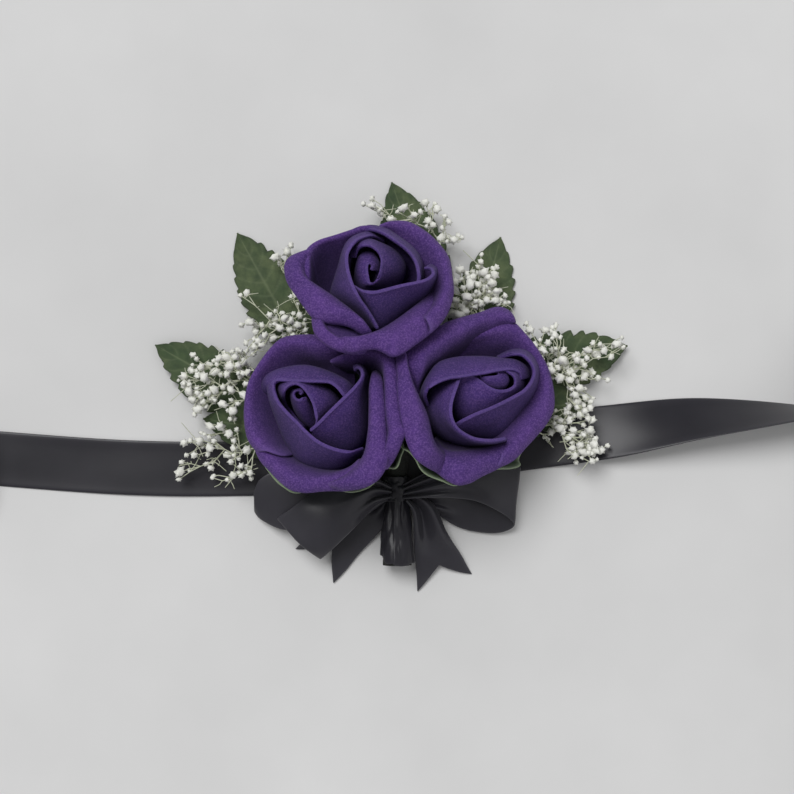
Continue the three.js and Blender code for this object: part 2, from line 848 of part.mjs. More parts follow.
function bowTail(item) {
  const way = item.wayShares.map(([x, y, z]) => {
    return new THREE.Vector3(x * ribbonWidth, knotY + y * ribbonWidth, z * ribbonWidth);
  });
  const last = way[way.length - 1];
  last.z = ribbonThickness / 2;
  const curve = new THREE.CatmullRomCurve3([knotPoint(item.startAngle), ...way]);
  const knotSide = new THREE.Vector3(0, -1, 0);
  const farSide = new THREE.Vector3(...item.farSide, 0).normalize();
  const endShare = (tailNotchShare * ribbonWidth) / curve.getLength();
  return bentSheet(
    4,
    12,
    (u, v) => {
      const across = 2 * u - 1;
      const share = v * (1 - endShare * (1 - Math.abs(across)));
      const side = knotSide.clone().lerp(farSide, smoothShare(share, ...tailTurnShares)).normalize();
      const width = blend(pinchWidth, ribbonWidth, smoothShare(share, ...tailOpenShares));
      return curve.getPointAt(share).addScaledVector(side, (across * width) / 2);
    },
    () => ribbonThickness,
  );
}

for (const item of bowTails) addMesh(item.name, bowTail(item), "satin");

// The wrist ribbon lies flat under the bundle and twists onto its edge towards the right.
// The ends of the centre line are shares of its reach; x runs the whole way.
const bandBendShares = [
  [-1, 0.015],
  [-0.61, -0.0125],
  [-0.36, -0.015],
  [0, 0],
  [0.28, 0.042],
  [0.49, 0.07],
  [0.69, 0.1],
  [1, 0.118],
];
const bandTwist = 90 * degree;
const twistStartShare = 0.7;
const bandCurve = new THREE.CatmullRomCurve3(
  bandBendShares.map(([x, y]) => new THREE.Vector3(x * bandReach, y * bandReach, 0)),
);

function bandFrame(share) {
  const middle = bandCurve.getPointAt(share);
  const tangent = bandCurve.getTangentAt(share);
  const tilt = bandTwist * smoothShare(share, twistStartShare, 1);
  const flatSide = new THREE.Vector3(-tangent.y, tangent.x, 0);
  const side = flatSide.multiplyScalar(Math.cos(tilt));
  side.z = -Math.sin(tilt);
  const lift = (ribbonWidth * Math.sin(tilt) + ribbonThickness * Math.cos(tilt)) / 2;
  middle.z = lift;
  return { middle, side, tangent };
}

addMesh(
  "wrist_ribbon",
  bentSheet(
    1,
    36,
    (u, v) => {
      const { middle, side } = bandFrame(v);
      return middle.addScaledVector(side, ((2 * u - 1) * ribbonWidth) / 2);
    },
    () => ribbonThickness,
  ),
  "satin",
);

// The tie ends that are not in use, each wound into a roll. turnTo(radius, angle) places a
// point of the winding, which starts outside, next to the ribbon's end, and winds inwards.
const rollOuterRadius = rollCoreRadius + rollPitch * rollTurns;

function windingRadius(share) {
  return blend(rollOuterRadius, rollCoreRadius, share);
}

function leastWindingGap() {
  const samples = stepsPerTurn * rollTurns;
  const at = (i) => {
    const radius = windingRadius(i / samples);
    const angle = (2 * Math.PI * i) / stepsPerTurn;
    return new THREE.Vector2(radius * Math.cos(angle), radius * Math.sin(angle));
  };
  let least = Infinity;
  for (let i = 0; i <= samples; i++) {
    for (let j = i + stepsPerTurn / 2; j <= samples; j++) {
      least = Math.min(least, at(i).distanceTo(at(j)));
    }
  }
  return least - ribbonThickness;
}

function windingGeometry(placeAt) {
  return bentSheet(
    1,
    stepsPerTurn * rollTurns,
    (u, v) => placeAt(windingRadius(v), 2 * Math.PI * rollTurns * v, 2 * u - 1),
    () => ribbonThickness,
  );
}

// Left roll: stands on the table like a wheel, with its axis across the ribbon
const leftEnd = bandFrame(0);
const leftRoll = windingGeometry((radius, angle, across) => {
  const back = leftEnd.tangent.clone().negate();
  const start = leftEnd.middle.clone().addScaledVector(back, clearance);
  return start
    .addScaledVector(back, radius * Math.sin(angle))
    .addScaledVector(leftEnd.side, (across * ribbonWidth) / 2)
    .add(new THREE.Vector3(0, 0, rollOuterRadius - radius * Math.cos(angle)));
});
addMesh("ribbon_roll_left", leftRoll, "satin");

// Right roll: stands on its edge, with its axis upright
const rightEnd = bandFrame(1);
const rightRoll = windingGeometry((radius, angle, across) => {
  const forward = rightEnd.tangent.clone();
  const sideways = new THREE.Vector3(-forward.y, forward.x, 0);
  const start = rightEnd.middle.clone().addScaledVector(forward, clearance);
  return start
    .addScaledVector(forward, radius * Math.sin(angle))
    .addScaledVector(sideways, rollOuterRadius - radius * Math.cos(angle))
    .add(new THREE.Vector3(0, 0, (-across * ribbonWidth) / 2));
});
addMesh("ribbon_roll_right", rightRoll, "satin");

console.log("least gap between the turns of a ribbon roll: " + leastWindingGap().toFixed(2) + " mm");

export default corsage;
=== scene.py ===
# A wrist corsage laid open on a table and seen from straight above: three foam roses,
# cloth leaves and baby's breath on one stem bundle, with a satin bow and wrist ribbon.
import math
import random
import bmesh
import bpy
from mathutils import Matrix, Vector, noise


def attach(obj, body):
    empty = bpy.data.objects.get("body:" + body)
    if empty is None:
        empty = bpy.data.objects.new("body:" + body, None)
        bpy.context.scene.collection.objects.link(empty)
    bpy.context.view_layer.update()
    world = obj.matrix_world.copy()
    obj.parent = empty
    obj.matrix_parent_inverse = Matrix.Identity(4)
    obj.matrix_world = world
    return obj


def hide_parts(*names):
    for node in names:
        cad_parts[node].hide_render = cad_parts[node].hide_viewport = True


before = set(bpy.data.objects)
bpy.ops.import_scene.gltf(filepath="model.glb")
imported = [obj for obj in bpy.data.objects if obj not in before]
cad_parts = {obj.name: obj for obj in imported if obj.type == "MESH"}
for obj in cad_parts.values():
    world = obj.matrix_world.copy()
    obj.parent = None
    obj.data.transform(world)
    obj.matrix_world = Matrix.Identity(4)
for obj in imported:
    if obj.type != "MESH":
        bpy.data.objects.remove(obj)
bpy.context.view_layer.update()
mm = 0.001
noise.seed_set(5)    # without it the small waves differ from one run to the next
scene = bpy.context.scene
scene.view_settings.view_transform = "Standard"

# Lengths are millimetres until a vertex is placed. The photo is 794 px square.
photo = {
    "middlePx": 397.0,
    "mmPerPixel": 0.364,      # on the table
    "cameraHeight": 600.0,
    "middleY": 23.66,         # the table point under the camera
    "sensor": 36.0,
    "clip": (0.05, 10.0),     # metres
}
eye = Vector((0.0, photo["middleY"], photo["cameraHeight"]))
up = Vector((0.0, 0.0, 1.0))


def tablePoint(px, py):
    x = (px - photo["middlePx"]) * photo["mmPerPixel"]
    y = photo["middleY"] - (py - photo["middlePx"]) * photo["mmPerPixel"]
    return Vector((x, y, 0.0))


def photoPoint(px, py, height):
    ground = tablePoint(px, py)
    return ground + (eye - ground) * (height / photo["cameraHeight"])


def smoothStep(value, low, high):
    share = min(1.0, max(0.0, (value - low) / (high - low)))
    return share * share * (3 - 2 * share)


def mixValues(a, b, share):
    return a + (b - a) * share


def srgb(red, green, blue):
    def linear(value):
        value /= 255
        return value / 12.92 if value <= 0.04045 else ((value + 0.055) / 1.055) ** 2.4
    return (linear(red), linear(green), linear(blue), 1.0)


# A smooth line through points, read evenly by point
def alongPoints(points, share):
    place = share * (len(points) - 1)
    i = min(int(place), len(points) - 2)
    t = place - i
    p1, p2 = points[i], points[i + 1]
    p0 = points[i - 1] if i > 0 else p1 * 2 - p2
    p3 = points[i + 2] if i + 2 < len(points) else p2 * 2 - p1
    bend = p1 * 3 - p0 - p2 * 3 + p3
    return (p1 * 2 + (p2 - p0) * t + (p0 * 2 - p1 * 5 + p2 * 4 - p3) * t * t + bend * t ** 3) / 2


# The same for points at uneven distances, where the line must not swing out at a short step
def alongSection(points, share):
    leastStep = 0.05
    run = [points[0] * 2 - points[1], *points, points[-1] * 2 - points[-2]]
    knots = [0.0]
    for a, b in zip(run, run[1:]):
        knots.append(knots[-1] + max(leastStep, (b - a).length) ** 0.5)
    place = share * (len(points) - 1)
    i = min(int(place), len(points) - 2)
    k = knots[i:i + 4]
    p = run[i:i + 4]
    t = mixValues(k[1], k[2], place - i)
    a1 = p[0].lerp(p[1], (t - k[0]) / (k[1] - k[0]))
    a2 = p[1].lerp(p[2], (t - k[1]) / (k[2] - k[1]))
    a3 = p[2].lerp(p[3], (t - k[2]) / (k[3] - k[2]))
    b1 = a1.lerp(a2, (t - k[0]) / (k[2] - k[0]))
    b2 = a2.lerp(a3, (t - k[1]) / (k[3] - k[1]))
    return b1.lerp(b2, (t - k[1]) / (k[2] - k[1]))


# Shader helpers
def addNode(tree, kind, inputs=None, **values):
    made = tree.nodes.new(kind)
    for key, value in values.items():
        setattr(made, key, value)
    for key, value in (inputs or {}).items():
        if isinstance(value, bpy.types.NodeSocket):
            tree.links.new(value, made.inputs[key])
        else:
            made.inputs[key].default_value = value
    return made


def mathValue(tree, operation, *values):
    made = addNode(tree, "ShaderNodeMath", dict(enumerate(values)), operation=operation)
    return made.outputs["Value"]


def mixedColour(tree, share, first, second):
    made = addNode(tree, "ShaderNodeMix", {"Factor": share, "A": first, "B": second},
                   data_type="RGBA")
    return made.outputs["Result"]


# Nothing up to start, and the given amount from full on
def rampValue(tree, value, start, full, amount):
    made = addNode(tree, "ShaderNodeMapRange", {"Value": value, "From Min": start,
                   "From Max": full, "To Max": amount})
    return made.outputs["Result"]


def bumpNormal(tree, height, strength, distance):
    made = addNode(tree, "ShaderNodeBump", {"Height": height, "Strength": strength,
                   "Distance": distance})
    return made.outputs["Normal"]


def newGroup(name, inputs, outputs):
    tree = bpy.data.node_groups.new(name, "ShaderNodeTree")
    for side, sockets in (("INPUT", inputs), ("OUTPUT", outputs)):
        for label, kind in sockets.items():
            tree.interface.new_socket(label, in_out=side, socket_type="NodeSocket" + kind)
    return tree, tree.nodes.new("NodeGroupInput").outputs, tree.nodes.new("NodeGroupOutput").inputs


# Colour that wanders between two shades, at one size
def colourDriftGroup():
    tree, ins, outs = newGroup("colourDrift", {"Vector": "Vector", "Base": "Color",
                               "Drift": "Color", "Scale": "Float", "Amount": "Float"},
                               {"Color": "Color"})
    clouds = addNode(tree, "ShaderNodeTexNoise", {"Vector": ins["Vector"], "Scale": ins["Scale"],
                     "Detail": 4.0, "Roughness": 0.55})
    share = rampValue(tree, clouds.outputs["Fac"], 0.32, 0.68, ins["Amount"])
    tree.links.new(mixedColour(tree, share, ins["Base"], ins["Drift"]), outs["Color"])
    return tree


# Fine closed-cell grain, broken up by pores
def foamGrainGroup():
    tree, ins, outs = newGroup("foamGrain", {"Vector": "Vector", "Scale": "Float",
                               "Depth": "Float"}, {"Grain": "Float", "Normal": "Vector"})
    size = {"Vector": ins["Vector"], "Scale": ins["Scale"]}
    grain = addNode(tree, "ShaderNodeTexNoise", {**size, "Detail": 3.0, "Roughness": 0.6})
    pores = addNode(tree, "ShaderNodeTexVoronoi", size)
    height = mathValue(tree, "MULTIPLY", grain.outputs["Fac"], pores.outputs["Distance"])
    tree.links.new(grain.outputs["Fac"], outs["Grain"])
    tree.links.new(bumpNormal(tree, height, ins["Depth"], 0.0003), outs["Normal"])
    return tree


# Another colour where a mask is set: a vein, a woven selvedge, or painted light such as a painted
# highlight on a cut rim or painted shade low in a fold
def edgeShadeGroup():
    tree, ins, outs = newGroup("edgeShade", {"Color": "Color", "Edge Color": "Color",
                               "Edge": "Float", "Amount": "Float"}, {"Color": "Color"})
    share = mathValue(tree, "MULTIPLY", ins["Edge"], ins["Amount"])
    tree.links.new(mixedColour(tree, share, ins["Color"], ins["Edge Color"]), outs["Color"])
    return tree


# Threads across and along a cloth's own map, with a little fuzz
def threadWeaveGroup():
    tree, ins, outs = newGroup("threadWeave", {"Vector": "Vector", "Across": "Float",
                               "Along": "Float", "Depth": "Float"}, {"Normal": "Vector"})
    split = addNode(tree, "ShaderNodeSeparateXYZ", {"Vector": ins["Vector"]}).outputs
    waves = [mathValue(tree, "SINE", mathValue(tree, "MULTIPLY", split[axis], ins[count]))
             for axis, count in (("X", "Across"), ("Y", "Along"))]
    threads = mathValue(tree, "MULTIPLY", *waves)
    fuzz = addNode(tree, "ShaderNodeTexNoise", {"Vector": ins["Vector"], "Scale": 22.0,
                   "Detail": 3.0})
    height = mathValue(tree, "ADD", threads, fuzz.outputs["Fac"])
    tree.links.new(bumpNormal(tree, height, ins["Depth"], 0.0001), outs["Normal"])
    return tree


groups = {
    "drift": colourDriftGroup(),
    "foam": foamGrainGroup(),
    "edge": edgeShadeGroup(),
    "weave": threadWeaveGroup(),
}


def useGroup(tree, name, inputs):
    return addNode(tree, "ShaderNodeGroup", inputs, node_tree=groups[name]).outputs


def newMaterial(name, look):
    material = bpy.data.materials.new(name)
    material.use_nodes = True
    tree = material.node_tree
    shader = tree.nodes["Principled BSDF"]
    for key, value in look["surface"].items():
        shader.inputs[key].default_value = value
    place = addNode(tree, "ShaderNodeTexCoord").outputs["Object"]
    return material, tree, shader, place


# A look gives each shade's colour and share, and for one that wanders over the surface the
# scale of its patches as well
def drifting(tree, place, colour, look, shade):
    return useGroup(tree, "drift", {"Vector": place, "Base": colour, "Drift": look[shade],
                    "Scale": look[shade + "Scale"], "Amount": look[shade + "Share"]})["Color"]


def masked(tree, colour, look, shade, attribute):
    mask = addNode(tree, "ShaderNodeAttribute", attribute_name=attribute).outputs["Fac"]
    return useGroup(tree, "edge", {"Color": colour, "Edge Color": look[shade], "Edge": mask,
                    "Amount": look[shade + "Share"]})["Color"]


def grained(tree, place, look):
    return useGroup(tree, "foam", {"Vector": place, "Scale": look["grainScale"],
                    "Depth": look["grainDepth"]})


def woven(tree, look):
    cloth = addNode(tree, "ShaderNodeUVMap", uv_map="clothMap").outputs["UV"]
    across, along = look["threads"]
    return useGroup(tree, "weave", {"Vector": cloth, "Across": across, "Along": along,
                    "Depth": look["weaveDepth"]})


def connect(tree, shader, colour, relief):
    tree.links.new(colour, shader.inputs["Base Color"])
    tree.links.new(relief["Normal"], shader.inputs["Normal"])


petalLook = {
    "base": srgb(86, 56, 127),
    "drift": srgb(68, 46, 110), "driftScale": 60.0, "driftShare": 0.85,
    "pit": srgb(54, 36, 90), "pitScale": 380.0, "pitShare": 0.5,
    "speck": srgb(134, 100, 172), "speckFrom": 0.44, "speckFull": 0.66, "speckShare": 0.42,
    # Painted shade: a darker colour low on each petal, where the rose's hollows lie in shade
    "paintedHollowShade": srgb(50, 40, 76), "paintedHollowShadeShare": 0.7,      # low inside the rose
    # Painted highlight: a lighter colour along the cut rims, where they catch the light
    "edge": srgb(108, 86, 146), "edgeShare": 0.5,
    "grainScale": 1800.0, "grainDepth": 0.6,
    "surface": {"Roughness": 0.85, "Sheen Weight": 0.04, "Sheen Roughness": 0.6,
                "Specular IOR Level": 0.18},
}
# The inner petals and bud are the same foam as the outer petals, painted darker and bluer as
# painted shade, with a dimmer painted highlight on their rims
innerPaintedShadeLook = {**petalLook, "base": srgb(76, 53, 124), "drift": srgb(60, 44, 106),
             "edge": srgb(92, 74, 132)}


def foamMaterial(name, look):
    material, tree, shader, place = newMaterial(name, look)
    colour = drifting(tree, place, look["base"], look, "drift")
    colour = drifting(tree, place, colour, look, "pit")
    grain = grained(tree, place, look)
    share = rampValue(tree, grain["Grain"], look["speckFrom"], look["speckFull"],
                      look["speckShare"])
    colour = mixedColour(tree, share, colour, look["speck"])
    # Painted shade low on the petals, then a painted highlight along their cut rims
    colour = masked(tree, colour, look, "paintedHollowShade", "veinsAndPaintedShade")
    connect(tree, shader, masked(tree, colour, look, "edge", "edge"), grain)
    return material


satinLook = {
    "base": srgb(38, 37, 43),
    "drift": srgb(30, 29, 35), "driftScale": 70.0, "driftShare": 0.6,
    "selvedge": srgb(56, 55, 61), "selvedgeShare": 0.55,
    "threads": (190.0, 70.0), "weaveDepth": 0.04,
    "surface": {"Roughness": 0.34, "Sheen Weight": 0.04, "Sheen Roughness": 0.4,
                "Specular IOR Level": 0.3, "Anisotropic": 0.3},
}
# The bow is the same satin as the wrist ribbon, painted lighter all over as a painted sheen on its
# loops
bowPaintedSheenLook = {**satinLook, "base": srgb(56, 55, 61), "drift": srgb(44, 43, 49),
                "selvedge": srgb(70, 69, 75)}


def satinMaterial(name, look):
    material, tree, shader, place = newMaterial(name, look)
    colour = drifting(tree, place, look["base"], look, "drift")
    connect(tree, shader, masked(tree, colour, look, "selvedge", "edge"), woven(tree, look))
    return material


leafLook = {
    "base": srgb(66, 86, 53),
    "drift": srgb(106, 116, 80), "driftScale": 90.0, "driftShare": 0.8,
    "spot": srgb(44, 62, 40), "spotScale": 330.0, "spotShare": 0.7,
    "vein": srgb(126, 138, 104), "veinShare": 0.4,
    "edge": srgb(58, 66, 50), "edgeShare": 0.5,
    "threads": (110.0, 110.0), "weaveDepth": 0.5,
    "surface": {"Roughness": 0.62, "Sheen Weight": 0.15, "Sheen Roughness": 0.5,
                "Specular IOR Level": 0.35},
}


def leafMaterial(name, look):
    material, tree, shader, place = newMaterial(name, look)
    colour = drifting(tree, place, look["base"], look, "drift")
    colour = drifting(tree, place, colour, look, "spot")
    colour = masked(tree, colour, look, "vein", "veinsAndPaintedShade")
    connect(tree, shader, masked(tree, colour, look, "edge", "edge"), woven(tree, look))
    return material


plainLooks = {
    # The calyx's pale edge colour is a painted highlight along its rim and sepals; the other looks'
    # edge colours show nowhere, as their meshes carry no edge mask
    "calyxPlastic": {"base": srgb(66, 92, 62), "drift": srgb(88, 116, 80), "driftScale": 120.0,
                     "edge": srgb(158, 174, 142), "grainScale": 900.0, "grainDepth": 0.15,
                     "surface": {"Roughness": 0.45}},
    "stemPlastic": {"base": srgb(56, 78, 50), "drift": srgb(70, 92, 60), "driftScale": 150.0,
                    "edge": srgb(90, 110, 80), "grainScale": 900.0, "grainDepth": 0.2,
                    "surface": {"Roughness": 0.5}},
    "floralTape": {"base": srgb(30, 31, 30), "drift": srgb(46, 47, 44), "driftScale": 600.0,
                   "edge": srgb(70, 70, 68), "grainScale": 1400.0, "grainDepth": 0.8,
                   "surface": {"Roughness": 0.9}},
    "blossom": {"base": srgb(244, 244, 239), "drift": srgb(226, 227, 216), "driftScale": 500.0,
                "edge": srgb(222, 222, 210), "grainScale": 1500.0, "grainDepth": 0.4,
                "surface": {"Roughness": 0.8}},
    "twig": {"base": srgb(206, 208, 188), "drift": srgb(176, 182, 154), "driftScale": 300.0,
             "edge": srgb(200, 200, 184), "grainScale": 1200.0, "grainDepth": 0.3,
             "surface": {"Roughness": 0.65}},
}


def plainMaterial(name):
    look = {**plainLooks[name], "driftShare": 0.8, "edgeShare": 0.8}
    material, tree, shader, place = newMaterial(name, look)
    colour = drifting(tree, place, look["base"], look, "drift")
    connect(tree, shader, masked(tree, colour, look, "edge", "edge"), grained(tree, place, look))
    return material


# Each finish has its material and the slot that the part's solids give it
finishes = {
    "petal": (foamMaterial("petalFoam", petalLook), "petal_foam"),
    "innerPetalPaintedShade": (foamMaterial("innerPetalFoamPaintedShade", innerPaintedShadeLook), "petal_foam"),
    "ribbon": (satinMaterial("satinRibbon", satinLook), "satin_ribbon"),
    "bow": (satinMaterial("bowSatinPaintedSheen", bowPaintedSheenLook), "satin_ribbon"),
    "leaf": (leafMaterial("leafCloth", leafLook), "leaf_cloth"),
    "calyx": (plainMaterial("calyxPlastic"), "calyx_plastic"),
    "stem": (plainMaterial("stemPlastic"), "stem_plastic"),
    "tape": (plainMaterial("floralTape"), "floral_tape"),
    "blossom": (plainMaterial("blossom"), "blossom"),
    "twig": (plainMaterial("twig"), "blossom"),
}
print("materials made")


# Piece helpers
def finishPiece(piece, finish, node):
    material, slot = finishes[finish]
    piece.data.materials.append(material)
    for polygon in piece.data.polygons:
        polygon.use_smooth = True
    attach(piece, "root")
    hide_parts(node)


def linkPiece(name, bm):
    mesh = bpy.data.meshes.new(name)
    bm.to_mesh(mesh)
    bm.free()
    piece = bpy.data.objects.new(name, mesh)
    scene.collection.objects.link(piece)
    return piece


sheetLook = {
    "edgeFade": 0.7,     # lost from one row of the grid to the next
    "mapUnit": 10.0,     # millimetres of cloth in one unit of its map
    "weld": 0.02,
}


# A sheet laid over place(u, v), with real thickness. flat is its size before it is shaped.
# It has an edge mask, and a second mask where mark(u, v) gives one: a leaf's veins, or the painted
# shade low in a petal.
def sheetPiece(name, grid, place, flat, thickness, rimEdges=("v1",), smoothLevels=1,
               joinSides=False, veinsAndPaintedShade=None):
    columns, rows = grid
    bm = bmesh.new()
    bmesh.ops.create_grid(bm, x_segments=columns, y_segments=rows, size=1)
    edge = bm.verts.layers.float.new("edge")
    veinsAndPaintedShadeLayer = bm.verts.layers.float.new("veinsAndPaintedShade")
    clothMap = bm.loops.layers.uv.new("clothMap")
    shares = {}
    for vert in bm.verts:
        u, v = (vert.co.x + 1) / 2, (vert.co.y + 1) / 2
        shares[vert] = (u, v)
        away = {"u0": u * columns, "u1": (1 - u) * columns, "v0": v * rows, "v1": (1 - v) * rows}
        nearest = min(away[side] for side in rimEdges)
        vert[edge] = max(0.0, 1 - sheetLook["edgeFade"] * nearest)
        if veinsAndPaintedShade:
            vert[veinsAndPaintedShadeLayer] = veinsAndPaintedShade(u, v)
    for face in bm.faces:
        for loop in face.loops:
            u, v = shares[loop.vert]
            loop[clothMap].uv = (u * flat[0] / sheetLook["mapUnit"],
                                 v * flat[1] / sheetLook["mapUnit"])
    for vert in bm.verts:
        vert.co = place(*shares[vert]) * mm
    if joinSides:
        bmesh.ops.remove_doubles(bm, verts=bm.verts, dist=sheetLook["weld"] * mm)
    piece = linkPiece(name, bm)
    wall = piece.modifiers.new("thickness", "SOLIDIFY")
    wall.thickness = thickness * mm
    wall.offset = 0.0
    if smoothLevels:
        soft = piece.modifiers.new("soft", "SUBSURF")
        soft.levels = smoothLevels
        soft.render_levels = smoothLevels
    return piece


# A round bar along points, with a radius for each or fewer radii for the first ones
def barMesh(points, radii, sides):
    curve = bpy.data.curves.new("bar", "CURVE")
    curve.dimensions = "3D"
    curve.bevel_depth = mm
    curve.bevel_resolution = max(0, sides // 4 - 1)
    curve.use_fill_caps = True
    spline = curve.splines.new("NURBS" if len(points) > 3 else "POLY")
    spline.points.add(len(points) - 1)
    for i, (point, target) in enumerate(zip(points, spline.points)):
        target.co = (*(point * mm), 1.0)
        target.radius = radii[min(i, len(radii) - 1)]
    if spline.type == "NURBS":
        spline.use_endpoint_u = True
        spline.order_u = 4
        spline.resolution_u = 3
    holder = bpy.data.objects.new("bar", curve)
    made = bpy.data.meshes.new_from_object(holder)
    bpy.data.objects.remove(holder)
    bpy.data.curves.remove(curve)
    return made


def joinMeshes(name, meshes):
    bm = bmesh.new()
    for mesh in meshes:
        bm.from_mesh(mesh)
        bpy.data.meshes.remove(mesh)
    bmesh.ops.recalc_face_normals(bm, faces=bm.faces)
    return linkPiece(name, bm)


# Floor, lights and camera
floorLook = {
    "size": 16000.0,
    "base": srgb(221, 221, 221),
    "drift": srgb(203, 203, 203), "driftScale": 9.0, "driftShare": 0.5,
    "surface": {"Roughness": 0.8, "Specular IOR Level": 0.2},
}
lampLook = {
    "key": {"from": (-0.3, 0.5, 1.0), "spread": 30.0, "power": 1.9},
    "side": {"from": (0.8, -0.3, 0.7), "spread": 70.0, "power": 0.3},
}
worldLook = {"Color": (1.0, 1.0, 1.0, 1.0), "Strength": 0.33}


def makeStage():
    bm = bmesh.new()
    bmesh.ops.create_grid(bm, x_segments=1, y_segments=1, size=floorLook["size"] * mm / 2)
    floor = linkPiece("floor", bm)
    material, tree, shader, place = newMaterial("floorPaper", floorLook)
    colour = drifting(tree, place, floorLook["base"], floorLook, "drift")
    tree.links.new(colour, shader.inputs["Base Color"])
    floor.data.materials.append(material)
    for name, look in lampLook.items():
        light = bpy.data.lights.new(name, "SUN")
        light.angle = math.radians(look["spread"])
        light.energy = look["power"]
        lamp = bpy.data.objects.new(name, light)
        lamp.location = Vector(look["from"])
        lamp.rotation_euler = lamp.location.to_track_quat("Z", "Y").to_euler()
        scene.collection.objects.link(lamp)
    world = bpy.data.worlds.new("studio")
    world.use_nodes = True
    for key, value in worldLook.items():
        world.node_tree.nodes["Background"].inputs[key].default_value = value
    scene.world = world


def makeCamera():
    data = bpy.data.cameras.new("camera")
    data.sensor_width = photo["sensor"]
    halfView = photo["middlePx"] * photo["mmPerPixel"]
    data.lens = photo["sensor"] / 2 * photo["cameraHeight"] / halfView
    data.clip_start, data.clip_end = photo["clip"]
    camera = bpy.data.objects.new("camera", data)
    camera.location = eye * mm
    scene.collection.objects.link(camera)
    scene.camera = camera


makeStage()
makeCamera()
print("stage and camera made")

